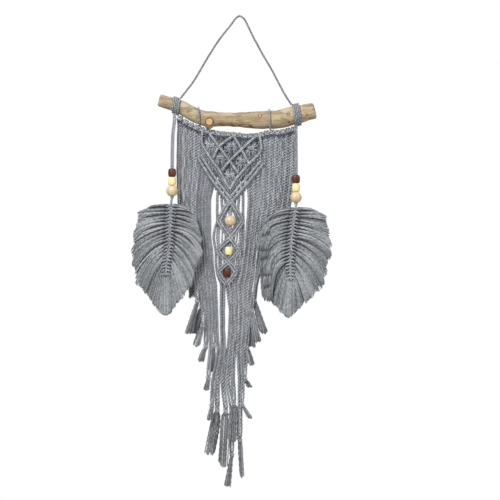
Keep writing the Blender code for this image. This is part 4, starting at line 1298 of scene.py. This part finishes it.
# %% Spines and straps
STRAP_SPREAD, BEAD_GAP, SPINE_DROP = 1.6, 0.35, 0.5
BORE, ROUND_RADIUS, BARREL_RADIUS, BARREL_HALF = 4.1, 10.4, 7.2, 7.4
ROUND_HALF = math.sqrt(ROUND_RADIUS**2 - BORE**2)
SPINE_LOOP = (
    # aside, y, z, radius, painted shade
    (0.4, 0.6, 0.9, 1.5, 0.9),
    (1.9, -3.0, 1.3, 1.9, 0.2),
    (4.0, -3.9, 0.6, 2.0, 0.1),
    (6.0, -2.4, -0.5, 2.0, 0.1),
    (8.6, 0.6, -2.0, 1.6, 0.3),
)


def spine_top(beads_top):
    return beads_top - 4 * BARREL_HALF - 2 * ROUND_HALF - 3 * BEAD_GAP - SPINE_DROP


def spine_knots(skein, spine):
    """The cord down the middle and the ends of the looped cords that come out beside it, row under row."""
    for aside in (-0.9, 0.9):
        add_cord(skein, [(x + aside, STRAP_Y - 2.6, z) for x, z in spine], 1.35)
    *loop, radius, shade_to_paint = np.transpose(SPINE_LOOP)
    for row in range(ROWS):
        x, z = point_at(spine[1:], (row + 0.5) / ROWS)
        for sign in (-1, 1):
            knot = np.transpose(loop) * (sign, 1, 1) + (x, STRAP_Y, z)
            # Shade is painted where each loop tucks in beside the spine.
            add_cord(skein, knot, radius, step=1.2, shade=0.5, crease=shade_to_paint)
        # Behind each row lies a short cord, painted nearly to the shadow colour as shade.
        behind = [(x + aside, STRAP_Y + 1.6, z - 3.0) for aside in (-5.5, 5.5)]
        add_cord(skein, behind, 2.2, step=2.0, crease=0.95)


def feather(name, strap_x, strap_z, strap_y, bead_x, beads_top):
    top = spine_top(beads_top)
    spine = [(bead_x, top)] + list(SPINES[name])
    knots = Skein()
    bend_x = strap_x + (bead_x - strap_x) * 0.75
    strap = [(strap_x, strap_y, strap_z), (strap_x, strap_y - 3, strap_z - 14)]
    strap += [(bend_x, STRAP_Y, strap_z - 45), (bead_x, STRAP_Y, beads_top + 4)]
    strap += [(bead_x, STRAP_Y, beads_top - 8), (bead_x, STRAP_Y, top - 3)]
    # Shade is painted on the straps' sides, where the two cords touch.
    for aside in (-STRAP_SPREAD, STRAP_SPREAD):
        add_cord(knots, np.array(strap) + (aside, 0, 0), 1.65, step=1.5, shade=0.4, painted_side_shade=0.7)
    spine_knots(knots, spine)
    knots.finish(f"feather_{name}_spine", f"feather_{name}")
    yarns = Skein()
    for side in ("left", "right"):
        comb_side(yarns, name, side, spine[1:])
    comb_point(yarns, name, spine)
    yarns.finish(f"feather_{name}_yarns", f"feather_{name}", finish=yarn_finish_painted_shade)


for row in FEATHERS:
    feather(*row)

# %% [markdown]
# The beads are turned on a lathe and drilled through, so each is one outline spun about its own axis,
# down the outside and back up the bore. The round ones are nearly spheres with a small flat at each hole.
# The barrels have softly rounded shoulders. Three hang on each strap, and one sits inside each diamond.


# %% Beads
BEAD_SIDES, OUTLINE_STEPS = 56, 22
BEAD_SLOTS = {"natural": "natural_wood", "yellow": "yellow_wood", "dark": "dark_wood"}
STRAP_BEADS = (("dark", False), ("yellow", False), ("natural", True))  # from the top; True is a round bead
MIDDLE_BEADS = (
    # name, wood, x, z, round or not
    ("top", "natural", -17.55, -366.6, True),
    ("centre", "yellow", -20.3, -421, False),
    ("low", "dark", -23.5, -460, False),
)


def bead_outline(is_round):
    """Distance from the axis and height, down the outside and back up the bore."""
    if is_round:
        start = math.asin((BORE + 0.5) / ROUND_RADIUS)
        angle = np.linspace(start, math.pi - start, OUTLINE_STEPS)
        outside = np.stack([np.sin(angle), np.cos(angle)], axis=1) * ROUND_RADIUS
    else:
        angle = np.linspace(math.pi / 2, -math.pi / 2, OUTLINE_STEPS)
        swell = np.abs(np.cos(angle)) ** 0.78
        rise = np.sign(np.sin(angle)) * np.abs(np.sin(angle)) ** 0.9
        outside = np.stack([BORE + 0.3 + (BARREL_RADIUS - BORE - 0.3) * swell, BARREL_HALF * rise], axis=1)
    rim, wall = (BORE + 0.15, outside[0, 1] - 0.05), (BORE, outside[0, 1] - 0.5)
    return np.vstack([outside, (rim[0], -rim[1]), (BORE, -wall[1]), wall, rim])


def bead(name, wood, x, y, z, is_round):
    wide, high = bead_outline(is_round).T
    angle = circle(BEAD_SIDES)[:, None]
    skein = Skein()
    rings = together(x + np.cos(angle) * wide, y + np.sin(angle) * wide, z + high)
    skein.add(rings, closed=True, shade=0.5)
    skein.finish(name + "_turned", name, finish=bead_finishes[wood], slot=BEAD_SLOTS[wood])


for feather_name, _, _, _, bead_x, beads_top in FEATHERS:
    top = beads_top
    for wood, is_round in STRAP_BEADS:
        half = ROUND_HALF if is_round else BARREL_HALF
        bead(f"bead_{feather_name}_{wood}", wood, bead_x, STRAP_Y, top - half, is_round)
        top -= 2 * half + BEAD_GAP
for place, wood, x, z, is_round in MIDDLE_BEADS:
    bead(f"bead_middle_{place}", wood, x, 0, z, is_round)

# %% [markdown]
# The light is that of a plain studio: a white surround that lights everything softly, and two large lamps
# in front, one stronger, so that knots and plies still cast small shadows. A weak lamp behind keeps the
# back readable. The pale floor lies well below the fringe, out of the front view.

# %% Light and floor
FILL = 0.34  # how strongly the surround lights the piece; the camera sees it as plain white
LAMPS = (
    # name, place in metres, size in metres, watts
    ("key_lamp", (-0.9, -1.4, 0.9), 0.6, 40),
    ("side_lamp", (1.4, -1.1, 0.2), 0.8, 12),
    ("back_lamp", (0.7, 1.5, 0.3), 0.9, 14),
)
LAMP_TARGET = Vector((0, 0, -0.4))
FLOOR_RADIUS, FLOOR_Z, FLOOR_SIDES = 0.7, -1.05, 64

world = bpy.data.worlds.new("white_studio")
world.use_nodes = True
surround = world.node_tree.nodes["Background"]
surround.inputs["Color"].default_value = (1, 1, 1, 1)
seen = Wire(world.node_tree, world.node_tree.nodes.new("ShaderNodeLightPath").outputs["Is Camera Ray"])
feed(surround, "Strength", seen * (1.0 - FILL) + FILL)
bpy.context.scene.world = world
bpy.context.scene.view_settings.view_transform = "Standard"

for name, place, size, watts in LAMPS:
    data = bpy.data.lights.new(name, "AREA")
    data.size, data.energy = size, watts
    lamp = bpy.data.objects.new(name, data)
    lamp.location = place
    lamp.rotation_euler = (LAMP_TARGET - Vector(place)).to_track_quat("-Z", "Y").to_euler()
    bpy.context.collection.objects.link(lamp)

floor_mesh = bpy.data.meshes.new("floor")
edge = [(math.cos(a) * FLOOR_RADIUS, math.sin(a) * FLOOR_RADIUS, FLOOR_Z) for a in circle(FLOOR_SIDES)]
floor_mesh.from_pydata(edge, [], [tuple(range(FLOOR_SIDES))])
floor = bpy.data.objects.new("floor", floor_mesh)
floor_material, floor_shader, floor_place = new_finish("pale_floor", 0.7)
feed(floor_shader, "Base Color", floor_place.noise(3.0).colours((232, 231, 229), (240, 239, 237)))
floor_mesh.materials.append(floor_material)
bpy.context.collection.objects.link(floor)
floor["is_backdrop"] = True
print("lamps:", ", ".join(row[0] for row in LAMPS))

# %% [markdown]
# Last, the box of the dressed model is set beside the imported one's. Fabric may stand a little proud of
# its solid, but the size must stay the same.

# %% Sizes and the end
bpy.context.view_layer.update()
dressed_box = [list(corner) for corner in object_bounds()]
for axis, name in enumerate("XYZ"):
    low, high = ((dressed_box[end][axis] - cad_box[end][axis]) / MM for end in (0, 1))
    print(f"{name}: {low:+.1f} mm at the low side, {high:+.1f} mm at the high side")
